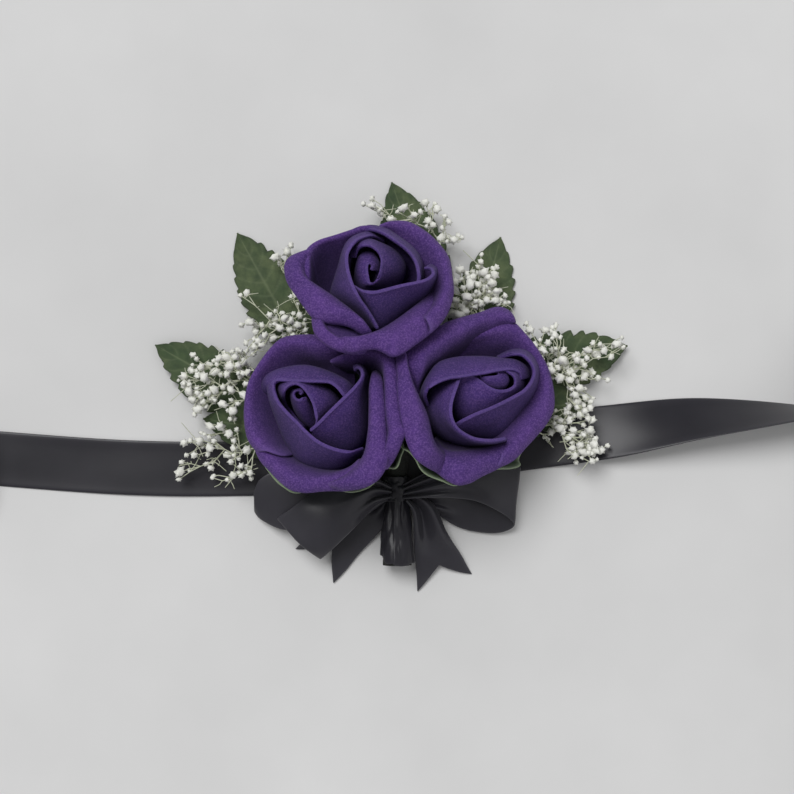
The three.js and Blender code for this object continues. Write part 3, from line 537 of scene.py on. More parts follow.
# Roses. A petal is drawn by lines of photo pixels from one end of its rim to the other,
# and each line lies at a height along the head's own axis, a share of the head's radius.
# The heights of an outer petal are those of its rim, its crest and its crease.
headRadius = 30.5
roses = {
    "rose_upper": {
        "base": Vector((-13.115, 48.19, 20.04)), "tilt": 33, "lean": 73,
        "bud": {
            "rim": [(371, 270, 0.88), (372.5, 266, 0.89), (370, 263, 0.9), (367, 265, 0.89),
                    (366.5, 270, 0.88), (367.5, 277, 0.86), (369.5, 283.5, 0.84),
                    (375, 282.5, 0.89), (379.5, 275.5, 0.96), (381.5, 267, 1.0), (382, 260, 1.01),
                    (379.5, 253.5, 1.02), (375, 249, 1.02), (368.5, 246, 1.02),
                    (362, 246.5, 0.99), (357.5, 250.5, 0.9), (355, 258, 0.78)],
            "body": [(378, 273, 0.77), (379, 262, 0.8), (371, 252, 0.81), (361, 254, 0.8),
                     (357, 266, 0.78), (358, 278, 0.74), (364, 288, 0.7), (376, 290, 0.62),
                     (389, 286, 0.62), (402, 277, 0.64), (405, 264, 0.68), (395, 251, 0.74),
                     (379, 243, 0.78), (369, 240, 0.8), (358, 242, 0.8), (352, 248, 0.78),
                     (349.5, 258, 0.74)],
        },
        "inner": [
            {"rim": [(385, 243, 0.66), (373, 236.5, 0.82), (361, 239, 0.93), (353, 244, 1.0),
                     (347.5, 253, 1.0), (346.5, 263, 1.0), (349, 276, 1.0), (353, 288, 1.0),
                     (358.5, 298, 0.97), (366, 308, 0.9), (372.5, 318.5, 0.82),
                     (378, 329, 0.74)],
             "body": [(383, 239, 0.56), (372, 233, 0.66), (359, 236, 0.7), (348.5, 243, 0.7),
                      (342.5, 254, 0.66), (338.5, 268, 0.6), (334.5, 281, 0.55), (332, 293, 0.5),
                      (338, 303, 0.45), (350, 313, 0.42), (362, 322, 0.42), (373, 331, 0.42)]},
            {"rim": [(361, 233, 0.66), (371, 230, 0.82), (383, 233.5, 0.93), (393, 240, 1.0),
                     (403, 247.5, 1.0), (411, 255, 1.0), (416, 263, 1.0), (418, 272, 0.99),
                     (418, 281, 0.95), (413, 290, 0.88)],
             "body": [(360, 230, 0.56), (370, 227, 0.68), (385, 230, 0.7), (396, 237, 0.7),
                      (406.5, 245, 0.68), (415, 253, 0.65), (420, 262, 0.62), (422, 272, 0.58),
                      (422, 283, 0.54), (418, 294, 0.5)]},
            {"rim": [(353, 286, 0.9), (359, 290, 0.96), (366, 292.5, 1.0), (375, 293, 1.0),
                     (385, 290.5, 1.0), (396, 287.5, 1.0), (407, 285.3, 1.0), (418, 283.5, 1.0),
                     (427, 281, 0.99), (433, 275.5, 0.96), (431, 269.5, 0.92),
                     (424, 268.5, 0.88)],
             "body": [(362, 306, 0.55), (368, 318, 0.5), (375, 328, 0.47), (381, 331, 0.45),
                      (390, 326, 0.44), (400, 319, 0.43), (410, 312.5, 0.42), (419, 306, 0.42),
                      (427, 297, 0.45), (434, 284, 0.55), (437, 272, 0.62), (430, 265.5, 0.66)]},
        ],
        "outer": [
            {"rim": [(377, 229), (387, 224), (398, 222.3), (409, 223.5), (420, 229.5), (431, 238),
                     (441, 248.5), (448, 259.5), (450.5, 275), (452, 290), (450.5, 303),
                     (446, 314), (439, 322.5), (430, 331.5)],
             "crease": [(381, 232), (391, 236), (401, 241), (410, 246), (418, 252), (425, 259),
                        (431, 267), (435.5, 276), (437.5, 285), (437, 295), (433.5, 304),
                        (428.5, 311), (423, 316), (418, 320)],
             "heights": (0.74, 0.83, 0.66)},
            {"rim": [(313, 297, 0.46), (306.5, 282, 0.66), (305.5, 268), (306, 257), (309.5, 249),
                     (319, 242), (331, 237.5), (343, 233.5), (353, 230.5), (361, 227.5),
                     (370, 227), (379, 228.5)],
             "crease": [(316, 297, 0.45), (309.5, 282.5, 0.65), (308.5, 269, 0.75),
                        (309.5, 259, 0.76), (313.5, 252, 0.75), (322, 246.5), (333, 242.5),
                        (343, 240.5), (351, 238), (358, 236), (366, 234), (374, 233)],
             "heights": (0.76, 0.79, 0.7)},
            {"rim": [(304, 254), (295, 256), (288, 260), (285.3, 268), (288, 280), (296, 292),
                     (304, 304), (313, 315), (327, 320.5), (341, 323), (353, 327),
                     (363, 333.5, 0.66), (371, 341, 0.54)],
             "crease": [(313, 258), (308, 265), (305, 271), (306, 278), (311, 284.5), (320, 290),
                        (330, 296.5), (340, 303.5), (349, 310), (357, 317), (364, 324.5),
                        (370.5, 333, 0.66), (375, 340, 0.52)],
             "heights": (0.7, 0.82, 0.7)},
            {"rim": [(317, 305, 0.46), (313.5, 316, 0.56), (313.5, 325), (316.5, 334.5),
                     (324, 341.5), (333, 346.5), (343, 350), (354, 352.5, 0.56),
                     (366, 352, 0.5)],
             "crease": [(326, 308, 0.44), (323.5, 319, 0.54), (325, 328), (329.5, 334),
                        (335.5, 338), (343.5, 341), (352, 342.5), (361, 342.5, 0.54),
                        (371, 341, 0.48)],
             "hollows": ((0.9, 0.5, 0.5), (0.97, 0.74, 0.64)),
             "heights": (0.62, 0.7, 0.6)},
            {"rim": [(337, 342, 0.6), (347, 350, 0.66), (357, 350.8), (367, 348.5), (377, 348),
                     (387, 351.5), (394, 354.5), (404, 351), (414, 344.5), (424, 337),
                     (433, 328.5, 0.64), (441, 317, 0.5)],
             "crease": [(339, 339.5, 0.6), (350, 338.5, 0.66), (360, 337.5), (369, 335.5),
                        (378, 331.5), (386, 327.5), (394, 323), (401, 318.5), (408, 313.5),
                        (416, 307.5), (424, 300.5, 0.6), (430, 290, 0.48)],
             "heights": (0.7, 0.78, 0.66)},
        ],
        "calyx": [(300, 262, 0.35), (305, 290, 0.35), (325, 316, 0.32), (346, 326, 0.28),
                  (376, 330, 0.26), (404, 320, 0.26), (430, 303, 0.32), (440, 280, 0.35),
                  (438, 250, 0.35), (420, 235, 0.35), (390, 229, 0.35), (350, 237, 0.35),
                  (320, 247, 0.35)],
    },
    "rose_left": {
        "base": Vector((-14.945, 13.115, 13.94)), "tilt": 30, "lean": 142,
        "bud": {
            "rim": [(300.5, 394.5, 0.9), (302.5, 392, 0.92), (299, 389.8, 0.93),
                    (295, 391.3, 0.94), (293.5, 395, 0.95), (295.5, 399, 0.96),
                    (299.5, 400.5, 0.96), (303.5, 398.3, 0.95), (307, 400, 0.84),
                    (311, 411, 0.66), (312, 424, 0.54), (302, 424, 0.5), (291, 411, 0.55),
                    (285.5, 402, 0.74), (283.8, 396, 0.94), (284.5, 390.5, 1.03),
                    (288, 386.5, 1.05), (293.5, 384, 1.05), (299, 384.5, 1.04),
                    (304.5, 389, 1.02), (309.5, 396, 1.0), (313.5, 404, 0.98), (316, 413, 0.96),
                    (317, 421, 0.93), (315, 428, 0.88)],
            "body": [(299.6, 394.9, 0.82), (300.4, 393.2, 0.82), (298.9, 392.2, 0.82),
                     (294, 390.5, 0.78), (292, 397, 0.72), (299, 416, 0.62), (310, 427, 0.58),
                     (316, 414, 0.62), (312, 403, 0.6), (313, 413, 0.5), (314, 426, 0.44),
                     (301, 427, 0.42), (289, 413, 0.45), (283, 404, 0.55), (280, 396, 0.68),
                     (279, 388, 0.75), (284, 381, 0.78), (292, 378, 0.8), (303, 379, 0.8),
                     (318, 384, 0.78), (331, 392, 0.74), (335, 402, 0.7), (331, 412, 0.68),
                     (326, 420, 0.64), (318, 428, 0.6)],
        },
        "inner": [
            {"rim": [(278, 398, 0.5), (272, 390, 0.74), (271.5, 384, 0.9), (279, 380, 0.97),
                     (292, 381, 0.98), (307.5, 382, 1.0), (321, 382, 1.0), (331, 383, 0.99),
                     (338, 388, 0.97), (343, 394, 0.94), (347, 399, 0.9)],
             "body": [(270, 402, 0.42), (263, 392, 0.62), (265, 379, 0.78), (276, 371, 0.83),
                      (290, 366.8, 0.85), (303, 365.4, 0.85), (316, 367.6, 0.85),
                      (328, 372, 0.84), (339, 376.8, 0.82), (347, 381.5, 0.8),
                      (353, 387, 0.72)]},
            {"rim": [(281, 380, 0.93), (274, 385, 0.97), (277, 400, 1.0), (287, 412.5, 1.0),
                     (298, 423.5, 1.0), (307, 433, 1.0), (319, 442.5, 0.98), (334, 449, 0.92),
                     (350, 452, 0.82), (364, 448, 0.66)],
             "body": [(276, 377, 0.8), (269.5, 386, 0.76), (271, 401, 0.68), (276.5, 418, 0.6),
                      (282, 433, 0.54), (288.5, 447, 0.49), (300, 462.5, 0.45),
                      (320, 469.5, 0.42), (343, 467, 0.42), (364, 453, 0.38)]},
            {"rim": [(311, 431, 0.93), (319, 424, 0.97), (330, 412.5, 1.0), (341, 402, 1.0),
                     (351, 392.5, 1.0), (359, 384, 0.99), (363, 376.5, 0.96), (362, 370.5, 0.92),
                     (358, 368, 0.88), (355, 370.5, 0.82)],
             "body": [(320, 447, 0.5), (333, 451, 0.46), (347, 451, 0.45), (358, 443, 0.45),
                      (364.5, 426, 0.5), (366.5, 403, 0.55), (367, 386, 0.6), (366, 373, 0.65),
                      (361, 366, 0.66), (354, 367, 0.66)]},
        ],
        "outer": [
            {"freeEnds": (0,),
             "rim": [(330, 361.5, 0.75), (341, 357, 0.8), (351, 353, 0.81), (361, 350.5, 0.8),
                     (372, 350), (383, 350.5), (393, 354.5), (396, 367), (397, 382), (398, 397),
                     (399.5, 412), (402, 424), (404.5, 432), (401.5, 441), (397, 451),
                     (391.5, 461, 0.68), (385, 469, 0.6)],
             "crease": [(332, 363.3, 0.72), (344, 362.5, 0.76), (354, 359.5, 0.78),
                        (362.5, 356.5), (371, 357), (378, 361), (383.5, 368), (385, 379),
                        (385.5, 391), (386, 403), (387, 415), (388.5, 425), (389.5, 433),
                        (388.5, 441), (386.5, 450), (383.5, 459, 0.66), (380, 467, 0.56)],
             "heights": (0.76, 0.84, 0.74)},
            {"rim": [(366, 357, 0.4), (356, 352.5, 0.52), (343, 347, 0.64), (328, 339.5, 0.71),
                     (312, 336), (296, 336.5), (282, 340), (270, 352), (260, 367), (251, 384),
                     (246, 403), (246, 424), (250, 441), (260, 452.5)],
             "crease": [(363, 362, 0.36), (353, 358, 0.48), (341, 357, 0.6), (328, 356, 0.67),
                        (314, 354), (300, 352.5), (287, 354.5), (276, 362), (267, 373),
                        (260, 387), (258, 403), (260, 420), (267, 437), (284, 457)],
             "heights": (0.74, 0.84, 0.72)},
            {"rim": [(272, 353), (262, 367), (253, 385), (248.5, 403), (248.5, 424), (252, 441),
                     (261, 454), (270, 465)],
             "crease": [(283, 362), (274, 373), (266, 388), (262, 404), (263, 420), (267, 434),
                        (275, 446), (284, 455)],
             "heights": (0.58, 0.66, 0.58)},
            {"rim": [(255, 446), (261, 459), (270, 470), (280, 481), (291, 489), (305, 491),
                     (319, 490), (333, 489.5), (347, 489), (360, 484)],
             "crease": [(268, 444), (276, 453), (284, 460.5), (293, 466), (303, 470.5),
                        (314, 473.5), (326, 474.5), (338, 473.5), (350, 468.5), (360, 460)],
             "heights": (0.7, 0.78, 0.68)},
            {"rim": [(377, 371, 0.5), (381, 378, 0.72), (382, 388), (383, 400), (384, 415),
                     (385, 430), (386, 445), (386, 458), (383, 469), (376.5, 479), (366, 485.5),
                     (354, 488.5), (342, 489), (331, 486)],
             "crease": [(375, 374, 0.46), (372.5, 380, 0.68), (370.5, 389), (370.5, 400),
                        (370.5, 413), (370, 427), (368.5, 439), (366.5, 450), (362, 459.5),
                        (356.5, 467), (350, 473), (344, 478), (337, 482), (329, 485)],
             "heights": (0.8, 0.9, 0.8)},
        ],
        "calyx": [(251, 402, 0.36), (257, 452, 0.4), (272, 477, 0.46), (283, 488, 0.46),
                  (296, 493.5, 0.46), (322, 486, 0.4), (349, 492.5, 0.46), (366, 489, 0.48),
                  (376, 481, 0.46), (384, 468, 0.46), (396, 468, 0.52), (401, 456, 0.55),
                  (404, 445, 0.56), (396, 428, 0.5), (395, 390, 0.4), (374, 356, 0.34),
                  (320, 348, 0.3), (266, 368, 0.3)],
    },
    "rose_right": {
        "base": Vector((17.54, 17.385, 13.94)), "tilt": 30, "lean": 40,
        "bud": {
            "rim": [(484, 372, 0.88), (490, 370, 0.9), (496, 371.5, 0.94), (499, 375, 0.97),
                    (495, 377, 0.97), (488, 377.5, 0.96), (482, 377, 0.93), (479, 373, 0.86),
                    (484, 367.5, 0.8), (494, 366.5, 0.84), (503, 369, 0.95), (509, 372.5, 1.0),
                    (513.5, 376, 1.02), (515.3, 381, 1.02), (514, 386.5, 1.02),
                    (508, 390.3, 1.01), (501, 391.4, 1.0), (494, 390.3, 0.98), (487.5, 387, 0.96),
                    (481, 382, 0.94), (475, 378, 0.92), (468, 376.5, 0.9), (461, 377.5, 0.87),
                    (456, 381, 0.82)],
            "body": [(486, 372, 0.86), (492, 369, 0.86), (503, 371, 0.92), (509, 379.5, 0.91),
                     (505, 386.5, 0.89), (494, 387.5, 0.88), (483, 384, 0.86), (474, 376, 0.76),
                     (482, 364, 0.7), (494, 362, 0.72), (505, 364, 0.76), (514, 368, 0.78),
                     (520, 373, 0.76), (523, 381, 0.72), (521, 392, 0.69), (511, 405, 0.64),
                     (496, 415, 0.62), (480, 419, 0.64), (467, 418, 0.66), (459, 410, 0.7),
                     (454, 400, 0.72), (451, 391, 0.72), (450, 387, 0.74), (450, 382, 0.75)],
        },
        "inner": [
            {"rim": [(431, 412, 0.42), (424.5, 398, 0.76), (427.5, 389, 0.94), (436, 383, 1.0),
                     (448, 378.5, 1.0), (460, 377, 1.0), (473, 375, 1.0), (486, 373, 1.0),
                     (498, 370.5, 1.0), (510, 369.5, 0.98), (519, 373, 0.94), (521, 380, 0.9)],
             "body": [(429, 413, 0.36), (421.5, 399, 0.62), (423.5, 387, 0.77),
                      (430, 374.5, 0.82), (440, 362.5, 0.84), (455, 357.8, 0.85),
                      (472.5, 357, 0.85), (490, 357.5, 0.85), (503, 359.5, 0.85),
                      (515, 360.5, 0.85), (526, 367.5, 0.82), (528.5, 379, 0.76)]},
            {"rim": [(496, 361.5, 0.66), (504.5, 357, 0.82), (513, 354.5, 0.92),
                     (522, 355.5, 0.97), (530, 363, 1.0), (533.5, 372, 1.0), (531, 382, 1.0),
                     (524, 391, 1.0), (514, 397, 1.0), (501, 403.5, 1.0), (488, 409.5, 0.99),
                     (474, 415, 0.97), (461, 421.5, 0.92), (452, 428, 0.82)],
             "body": [(496, 358, 0.56), (504, 354, 0.66), (514, 351, 0.68), (525, 352.5, 0.65),
                      (534, 361, 0.6), (537, 373, 0.6), (535, 387, 0.58), (530, 399, 0.55),
                      (523, 411, 0.5), (514, 424, 0.48), (503, 435, 0.45), (490, 438, 0.45),
                      (475, 437, 0.46), (460, 434, 0.46)]},
            {"rim": [(459, 377.5, 0.92), (456.5, 386, 0.97), (453, 396, 1.0), (450.5, 407, 1.0),
                     (451, 418, 1.0), (456, 428, 1.0), (465, 435, 1.0), (476, 440, 0.98),
                     (491, 441.3, 0.94), (505, 439, 0.88)],
             "body": [(438, 384, 0.56), (429, 391, 0.53), (426, 401, 0.5), (427, 412, 0.48),
                      (431, 423, 0.46), (440, 433, 0.44), (452, 440.5, 0.42), (467, 445, 0.42),
                      (488, 446, 0.42), (507, 443, 0.42)]},
        ],
        "outer": [
            {"rim": [(395, 368, 0.62), (404, 353, 0.74), (415, 344), (426, 337), (438, 328.5),
                     (450, 322.5), (465, 317.5), (480, 313.5), (495, 308.5), (505, 310),
                     (511, 316), (514, 325)],
             "crease": [(421, 400, 0.5), (418, 387, 0.66), (421.5, 377), (427, 367.5),
                        (435, 359.5), (445, 351.5), (456, 344), (467, 336.5), (479, 331),
                        (490, 328), (500, 325), (509, 324.5)],
             "heights": (0.76, 0.86, 0.76)},
            {"rim": [(446, 350, 0.42), (456, 342.5, 0.52), (468, 335.5, 0.6), (482, 328.5, 0.66),
                     (497, 323, 0.7), (511, 322.5), (521, 332.5), (530, 342.5), (538, 354.5),
                     (545, 367), (549.5, 380), (552.5, 395), (552, 410), (546, 422.5), (537, 433),
                     (527, 445), (516, 457), (504, 464), (496, 466)],
             "crease": [(450, 357, 0.38), (460, 350.5, 0.48), (472, 345, 0.56),
                        (485, 341.5, 0.62), (499, 341), (511, 344), (520, 350), (527, 358),
                        (532, 366), (535, 375), (535.5, 385), (533.5, 395), (529.5, 405),
                        (524, 414), (518, 422), (512, 430), (507, 437), (502, 445), (498, 453)],
             "heights": (0.72, 0.8, 0.68)},
            {"rim": [(546, 372), (550.5, 388), (550.5, 405), (545, 420), (535, 433), (524, 445.5),
                     (513, 456.5), (500, 463)],
             "crease": [(535, 380), (538, 391), (537, 403), (532, 414), (524, 424), (515, 433),
                        (507, 441), (499, 448)],
             "heights": (0.56, 0.64, 0.56)},
            {"rim": [(421, 459.5, 0.46), (430, 465.5, 0.52), (441, 472.5, 0.6), (450, 479, 0.66),
                     (459, 483), (470, 481), (482, 474.5), (494, 469.5), (506, 463)],
             "crease": [(426, 447, 0.4), (434, 449.5, 0.48), (443, 451.5, 0.56), (452, 453, 0.64),
                        (461, 453), (472, 452), (484, 450.5), (495, 447.5), (505, 441)],
             "heights": (0.68, 0.77, 0.68)},
            {"freeEnds": (1,),
             "rim": [(396, 350, 0.66), (397.5, 362, 0.74), (399.2, 375), (399.2, 388),
                     (400.7, 403), (403, 418), (406, 431), (409, 442), (414, 453), (421, 461),
                     (431, 467.5, 0.71), (441, 472, 0.58), (450, 475, 0.38)],
             "crease": [(405.5, 357), (407, 369), (410, 379), (414.5, 389), (419, 399),
                        (423.5, 409), (427, 419.5), (429.5, 430), (432.5, 440),
                        (437, 447.5, 0.73), (442, 452, 0.61), (447, 456, 0.45),
                        (453, 460, 0.3)],
             "heights": (0.78, 0.88, 0.8)},
        ],
        "calyx": [(404, 372, 0.36), (401, 400, 0.44), (402, 432, 0.5), (401, 446, 0.55),
                  (409, 451.5, 0.55), (415, 459, 0.5), (420, 469, 0.5), (428, 476, 0.5),
                  (443, 481.5, 0.5), (455, 486, 0.48), (466, 482, 0.44), (482, 472, 0.42),
                  (499, 469.5, 0.46), (511, 469, 0.46), (521, 465.5, 0.46), (520, 456, 0.42),
                  (537, 430, 0.4), (549, 400, 0.38), (545, 370, 0.35), (518, 332, 0.3),
                  (480, 320, 0.3), (432, 338, 0.3)],
    },
}
petalShape = {
    "hollow": (0.97, 0.86, 0.44),   # width kept, reach, height: the line below the crease
    "belly": (0.8, 0.6, 0.2),
    "foot": (0.45, 0.2, 0.08),
    "usualCrease": 0.7,             # the crease height that those heights are meant for
    "freeEnd": (0.0, 0.3),          # how far from a free end the petal has its full hollow
    "curlIn": 2.2,                  # how far the rolled rim turns back under itself
    "curlDown": 3.4,
    "leastCurl": 0.4,
    "fullWidth": 3.6,               # a band narrower than this is flatter, as at its ends
    "waver": 0.35,
    "seedStep": 7.3,
    "fade": (0.3, 0.72),            # along a section, where the painted shade gives way
    "grid": (46, 24),
    "flat": (60, 45),
    "thickness": 1.3,
}
rolledShape = {
    "foot": (0.17, 0.1),            # reach and height, as shares of the head's radius
    "low": (0.8, 0.55),             # as shares of the body line's own reach and height
    "bulgeAt": 0.6,                 # from the body line up to the rim
    "leastAway": 0.3,               # closer lines than this have no bulge
    "lipOut": 0.25,
    "waver": 0.25,
}
# For the inner petals and bud, fade is where the painted shade gives way along a section
innerShape = {"footKept": 0.6, "lowKept": 0.92, "bulge": 0.8, "lip": 0.7, "grid": (46, 18),
              "flat": (50, 40), "thickness": 1.2, "fade": (0.3, 0.9), "seed": 40,
              "seedStep": 5.1}
budShape = {"footKept": 1.0, "lowKept": 1.0, "bulge": 0.5, "lip": 0.4, "grid": (120, 16),
            "flat": (90, 28), "thickness": 1.1, "fade": (0.25, 0.85), "seed": 3.3}
waveScale = 0.09    # per millimetre, for all small waves


def headAxis(rose):
    lean, tilt = math.radians(rose["lean"]), math.radians(rose["tilt"])
    return Vector((math.sin(tilt) * math.cos(lean), math.sin(tilt) * math.sin(lean),
                   math.cos(tilt)))


def headPoint(rose, px, py, heightShare):
    axis = headAxis(rose)
    ground = tablePoint(px, py)
    ray = eye - ground
    height = heightShare * headRadius - (ground - rose["base"]).dot(axis)
    return ground + ray * (height / ray.dot(axis))


# A line of stations, where one without a height of its own takes the line's
def headLine(rose, stations, lineHeight=0.0):
    return [headPoint(rose, *(station + (lineHeight,))[:3]) for station in stations]


def outward(rose, point):
    axis = headAxis(rose)
    away = point - rose["base"]
    return away - axis * away.dot(axis)


# A place below a rim: reach and height are shares of the rim's own reach and the head's radius
def belowRim(rose, point, reach, heightShare):
    axis = headAxis(rose)
    return rose["base"] + outward(rose, point) * reach + axis * (heightShare * headRadius)


# A place close to the head's axis, on the side of a point: both are shares of the radius
def footPlace(rose, point, reach, heightShare):
    side = outward(rose, point).normalized()
    return rose["base"] + side * reach * headRadius + headAxis(rose) * heightShare * headRadius


def waver(point, seed, amount):
    return noise.noise_vector(point * waveScale + Vector((seed, 0, 0))) * amount


def inwardShare(u, kept):
    return 0.5 + (u - 0.5) * kept


def makePetal(node, finish, shape, place):
    # Every petal gets painted shade low on it, fading out along its section, and an edge mask for
    # the painted highlight on its rims
    piece = sheetPiece(node + "_foam", shape["grid"], place, shape["flat"], shape["thickness"],
                       rimEdges=("v1", "u0", "u1"),
                       veinsAndPaintedShade=lambda u, v: 1 - smoothStep(v, *shape["fade"]))
    finishPiece(piece, finish, node)


def makeOuterPetal(node, rose, item, seed):
    axis = headAxis(rose)
    rimHeight, crestHeight, creaseHeight = item["heights"]
    rim = headLine(rose, item["rim"], rimHeight)
    crease = headLine(rose, item["crease"], creaseHeight)
    hollows = item.get("hollows", (petalShape["belly"], petalShape["hollow"]))
    rise = (crestHeight - (rimHeight + creaseHeight) / 2) * headRadius
    footKept, footReach, footHeight = petalShape["foot"]

    def place(u, v):
        rimHere = alongPoints(rim, u)
        creaseHere = alongPoints(crease, u)
        ease = min(1.0, (rimHere - creaseHere).length / petalShape["fullWidth"])
        foot = alongPoints(crease, inwardShare(u, footKept))
        section = [footPlace(rose, foot, footReach, footHeight)]
        nearEnd = min([abs(u - end) for end in item.get("freeEnds", ())], default=1.0)
        hollowShare = smoothStep(nearEnd, *petalShape["freeEnd"])
        for kept, reach, height in hollows:
            point = alongPoints(crease, inwardShare(u, kept))
            section.append(belowRim(rose, point, mixValues(1.0, reach, hollowShare),
                                    height * creaseHeight / petalShape["usualCrease"]))
        section.append(creaseHere)
        section.append(creaseHere.lerp(rimHere, 0.5) + axis * rise * ease)
        section.append(rimHere)
        back = outward(rose, rimHere).normalized()
        section.append(rimHere - back * petalShape["curlIn"] * ease
                       - axis * petalShape["curlDown"]
                       * mixValues(petalShape["leastCurl"], 1.0, ease))
        point = alongSection(section, v)
        return point + waver(point, seed, petalShape["waver"])

    makePetal(node, "petal", petalShape, place)


def makeRolledPiece(node, rose, item, shape, seed):
    axis = headAxis(rose)
    rim = headLine(rose, item["rim"])
    body = headLine(rose, item["body"])
    lowReach, lowHeight = rolledShape["low"]

    def place(u, v):
        rimHere = alongPoints(rim, u)
        bodyHere = alongPoints(body, u)
        foot = alongPoints(body, inwardShare(u, shape["footKept"]))
        low = alongPoints(body, inwardShare(u, shape["lowKept"]))
        bodyShare = (bodyHere - rose["base"]).dot(axis) / headRadius
        away = bodyHere - rimHere
        away -= axis * away.dot(axis)
        bulge = away.normalized() if away.length > rolledShape["leastAway"] else Vector()
        section = [
            footPlace(rose, foot, *rolledShape["foot"]),
            belowRim(rose, low, lowReach, bodyShare * lowHeight),
            bodyHere,
            bodyHere.lerp(rimHere, rolledShape["bulgeAt"]) + bulge * shape["bulge"],
            rimHere,
            rimHere + axis * shape["lip"] + bulge * rolledShape["lipOut"],
        ]
        point = alongSection(section, v)
        return point + waver(point, seed, rolledShape["waver"])

    # Inner petals and bud take the foam painted darker and bluer, as painted shade
    makePetal(node, "innerPetalPaintedShade", shape, place)


for roseName, rose in roses.items():
    makeRolledPiece(roseName + "_bud", rose, rose["bud"], budShape, budShape["seed"])
    for index, item in enumerate(rose["inner"]):
        seed = index * innerShape["seedStep"] + innerShape["seed"] + len(roseName)
        makeRolledPiece(f"{roseName}_inner_petal_{index + 1}", rose, item, innerShape, seed)
    for index, item in enumerate(rose["outer"]):
        seed = index * petalShape["seedStep"] + len(roseName)
        makeOuterPetal(f"{roseName}_outer_petal_{index + 1}", rose, item, seed)
print("rose petals made")

# Lengths that the part's solids have as well, in millimetres
sizes = {
    "ribbonWidth": 20.0,
    "ribbonThickness": 0.5,
    "bandReach": 160.0,
    "rollCoreRadius": 5.0,
    "rollPitch": 1.5,
    "rollTurns": 4,
    "stemRadius": 1.1,
    "wireRadius": 0.4,
    "clearance": 0.3,
    "bundleHeight": 6.975,
    "knotY": -9.0,
    "bundleEndY": -37.2,
    "bundleMouthY": 6.8,
    "wirePitch": 1.0,
    "wireInset": 1.0,
    "outermostSlot": 4,
}


# A smooth way through points, read by its share of the whole length
class Way:
    steps = 240
    probe = 0.01    # the share on both sides of a place that gives its direction

    def __init__(self, points):
        self.points = [alongSection(points, i / self.steps) for i in range(self.steps + 1)]
        self.lengths = [0.0]
        for a, b in zip(self.points, self.points[1:]):
            self.lengths.append(self.lengths[-1] + (b - a).length)
        self.length = self.lengths[-1]

    def at(self, share):
        wanted = min(1.0, max(0.0, share)) * self.length
        low, high = 0, len(self.points) - 2
        while low < high:
            middle = (low + high + 1) // 2
            if self.lengths[middle] <= wanted:
                low = middle
            else:
                high = middle - 1
        span = self.lengths[low + 1] - self.lengths[low]
        return self.points[low].lerp(self.points[low + 1], (wanted - self.lengths[low]) / span)

    def direction(self, share):
        return (self.at(share + self.probe) - self.at(share - self.probe)).normalized()

    def evenPoints(self, count):
        return [self.at(i / count) for i in range(count + 1)]


# Wrist ribbon: flat under the bundle, turning onto its edge towards the right
ribbonLook = {
    "bendShares": [(-1, 0.015), (-0.61, -0.0125), (-0.36, -0.015), (0, 0), (0.28, 0.042),
                   (0.49, 0.07), (0.69, 0.1), (1, 0.118)],
    "turnStartShare": 0.67,
    "turnEase": 1.12,
    "grid": (12, 150),
    "rollGrid": (8, 200),
    "ripple": 0.5,
    "rippleScale": (0.03, 0.05),
    "rippleSeed": 4.0,
    "rippleLift": 0.45,  # how much of the ribbon ripples
    "cup": 0.35,         # how much the selvedges curl up
}
ribbonWay = Way([Vector((x * sizes["bandReach"], y * sizes["bandReach"], 0))
                 for x, y in ribbonLook["bendShares"]])


def ribbonFrame(share):
    middle = ribbonWay.at(share)
    along = ribbonWay.direction(share)
    turned = max(0.0, share - ribbonLook["turnStartShare"]) / (1 - ribbonLook["turnStartShare"])
    turn = math.pi / 2 * turned ** ribbonLook["turnEase"]
    side = Vector((-along.y, along.x, 0)) * math.cos(turn)
    side.z = -math.sin(turn)
    middle = middle + up * (sizes["ribbonWidth"] * math.sin(turn)
                            + sizes["ribbonThickness"] * math.cos(turn)) / 2
    return middle, side, along


def placeRibbon(u, v):
    middle, side, along = ribbonFrame(v)
    across = 2 * u - 1
    point = middle + side * (across * sizes["ribbonWidth"] / 2)
    ends = math.sin(math.pi * v) ** 0.5
    scaleX, scaleY = ribbonLook["rippleScale"]
    ripple = noise.noise(Vector((point.x * scaleX, point.y * scaleY, ribbonLook["rippleSeed"])))
    lift = max(0.0, ripple + ribbonLook["rippleLift"]) * ribbonLook["ripple"]
    lift += ribbonLook["cup"] * across ** 4
    normal = along.cross(side)
    if normal.z < 0:
        normal = -normal
    return point + normal * (lift * ends)


def makeRibbon():
    flat = (sizes["ribbonWidth"], ribbonWay.length)
    piece = sheetPiece("wrist_ribbon_satin", ribbonLook["grid"], placeRibbon, flat,
                       sizes["ribbonThickness"], rimEdges=("u0", "u1"))
    finishPiece(piece, "ribbon", "wrist_ribbon")


def makeRoll(node, placeTurn):
    turns = sizes["rollTurns"]
    outer = sizes["rollCoreRadius"] + sizes["rollPitch"] * turns
    length = math.pi * (outer + sizes["rollCoreRadius"]) * turns

    def place(u, v):
        radius = mixValues(outer, sizes["rollCoreRadius"], v)
        return placeTurn(outer, radius, 2 * math.pi * turns * v, 2 * u - 1)

    flat = (sizes["ribbonWidth"], length)
    piece = sheetPiece(node + "_satin", ribbonLook["rollGrid"], place, flat,
                       sizes["ribbonThickness"], rimEdges=("u0", "u1", "v1"))
    finishPiece(piece, "ribbon", node)


def placeLeftTurn(outer, radius, angle, across):
    middle, side, along = ribbonFrame(0.0)
    point = middle - along * (sizes["clearance"] + radius * math.sin(angle))
    point += side * (across * sizes["ribbonWidth"] / 2)
    return point + up * (outer - radius * math.cos(angle))


def placeRightTurn(outer, radius, angle, across):
    middle, side, along = ribbonFrame(1.0)
    sideways = Vector((-along.y, along.x, 0))
    point = middle + along * (sizes["clearance"] + radius * math.sin(angle))
    point += sideways * (outer - radius * math.cos(angle))
    return point - up * (across * sizes["ribbonWidth"] / 2)


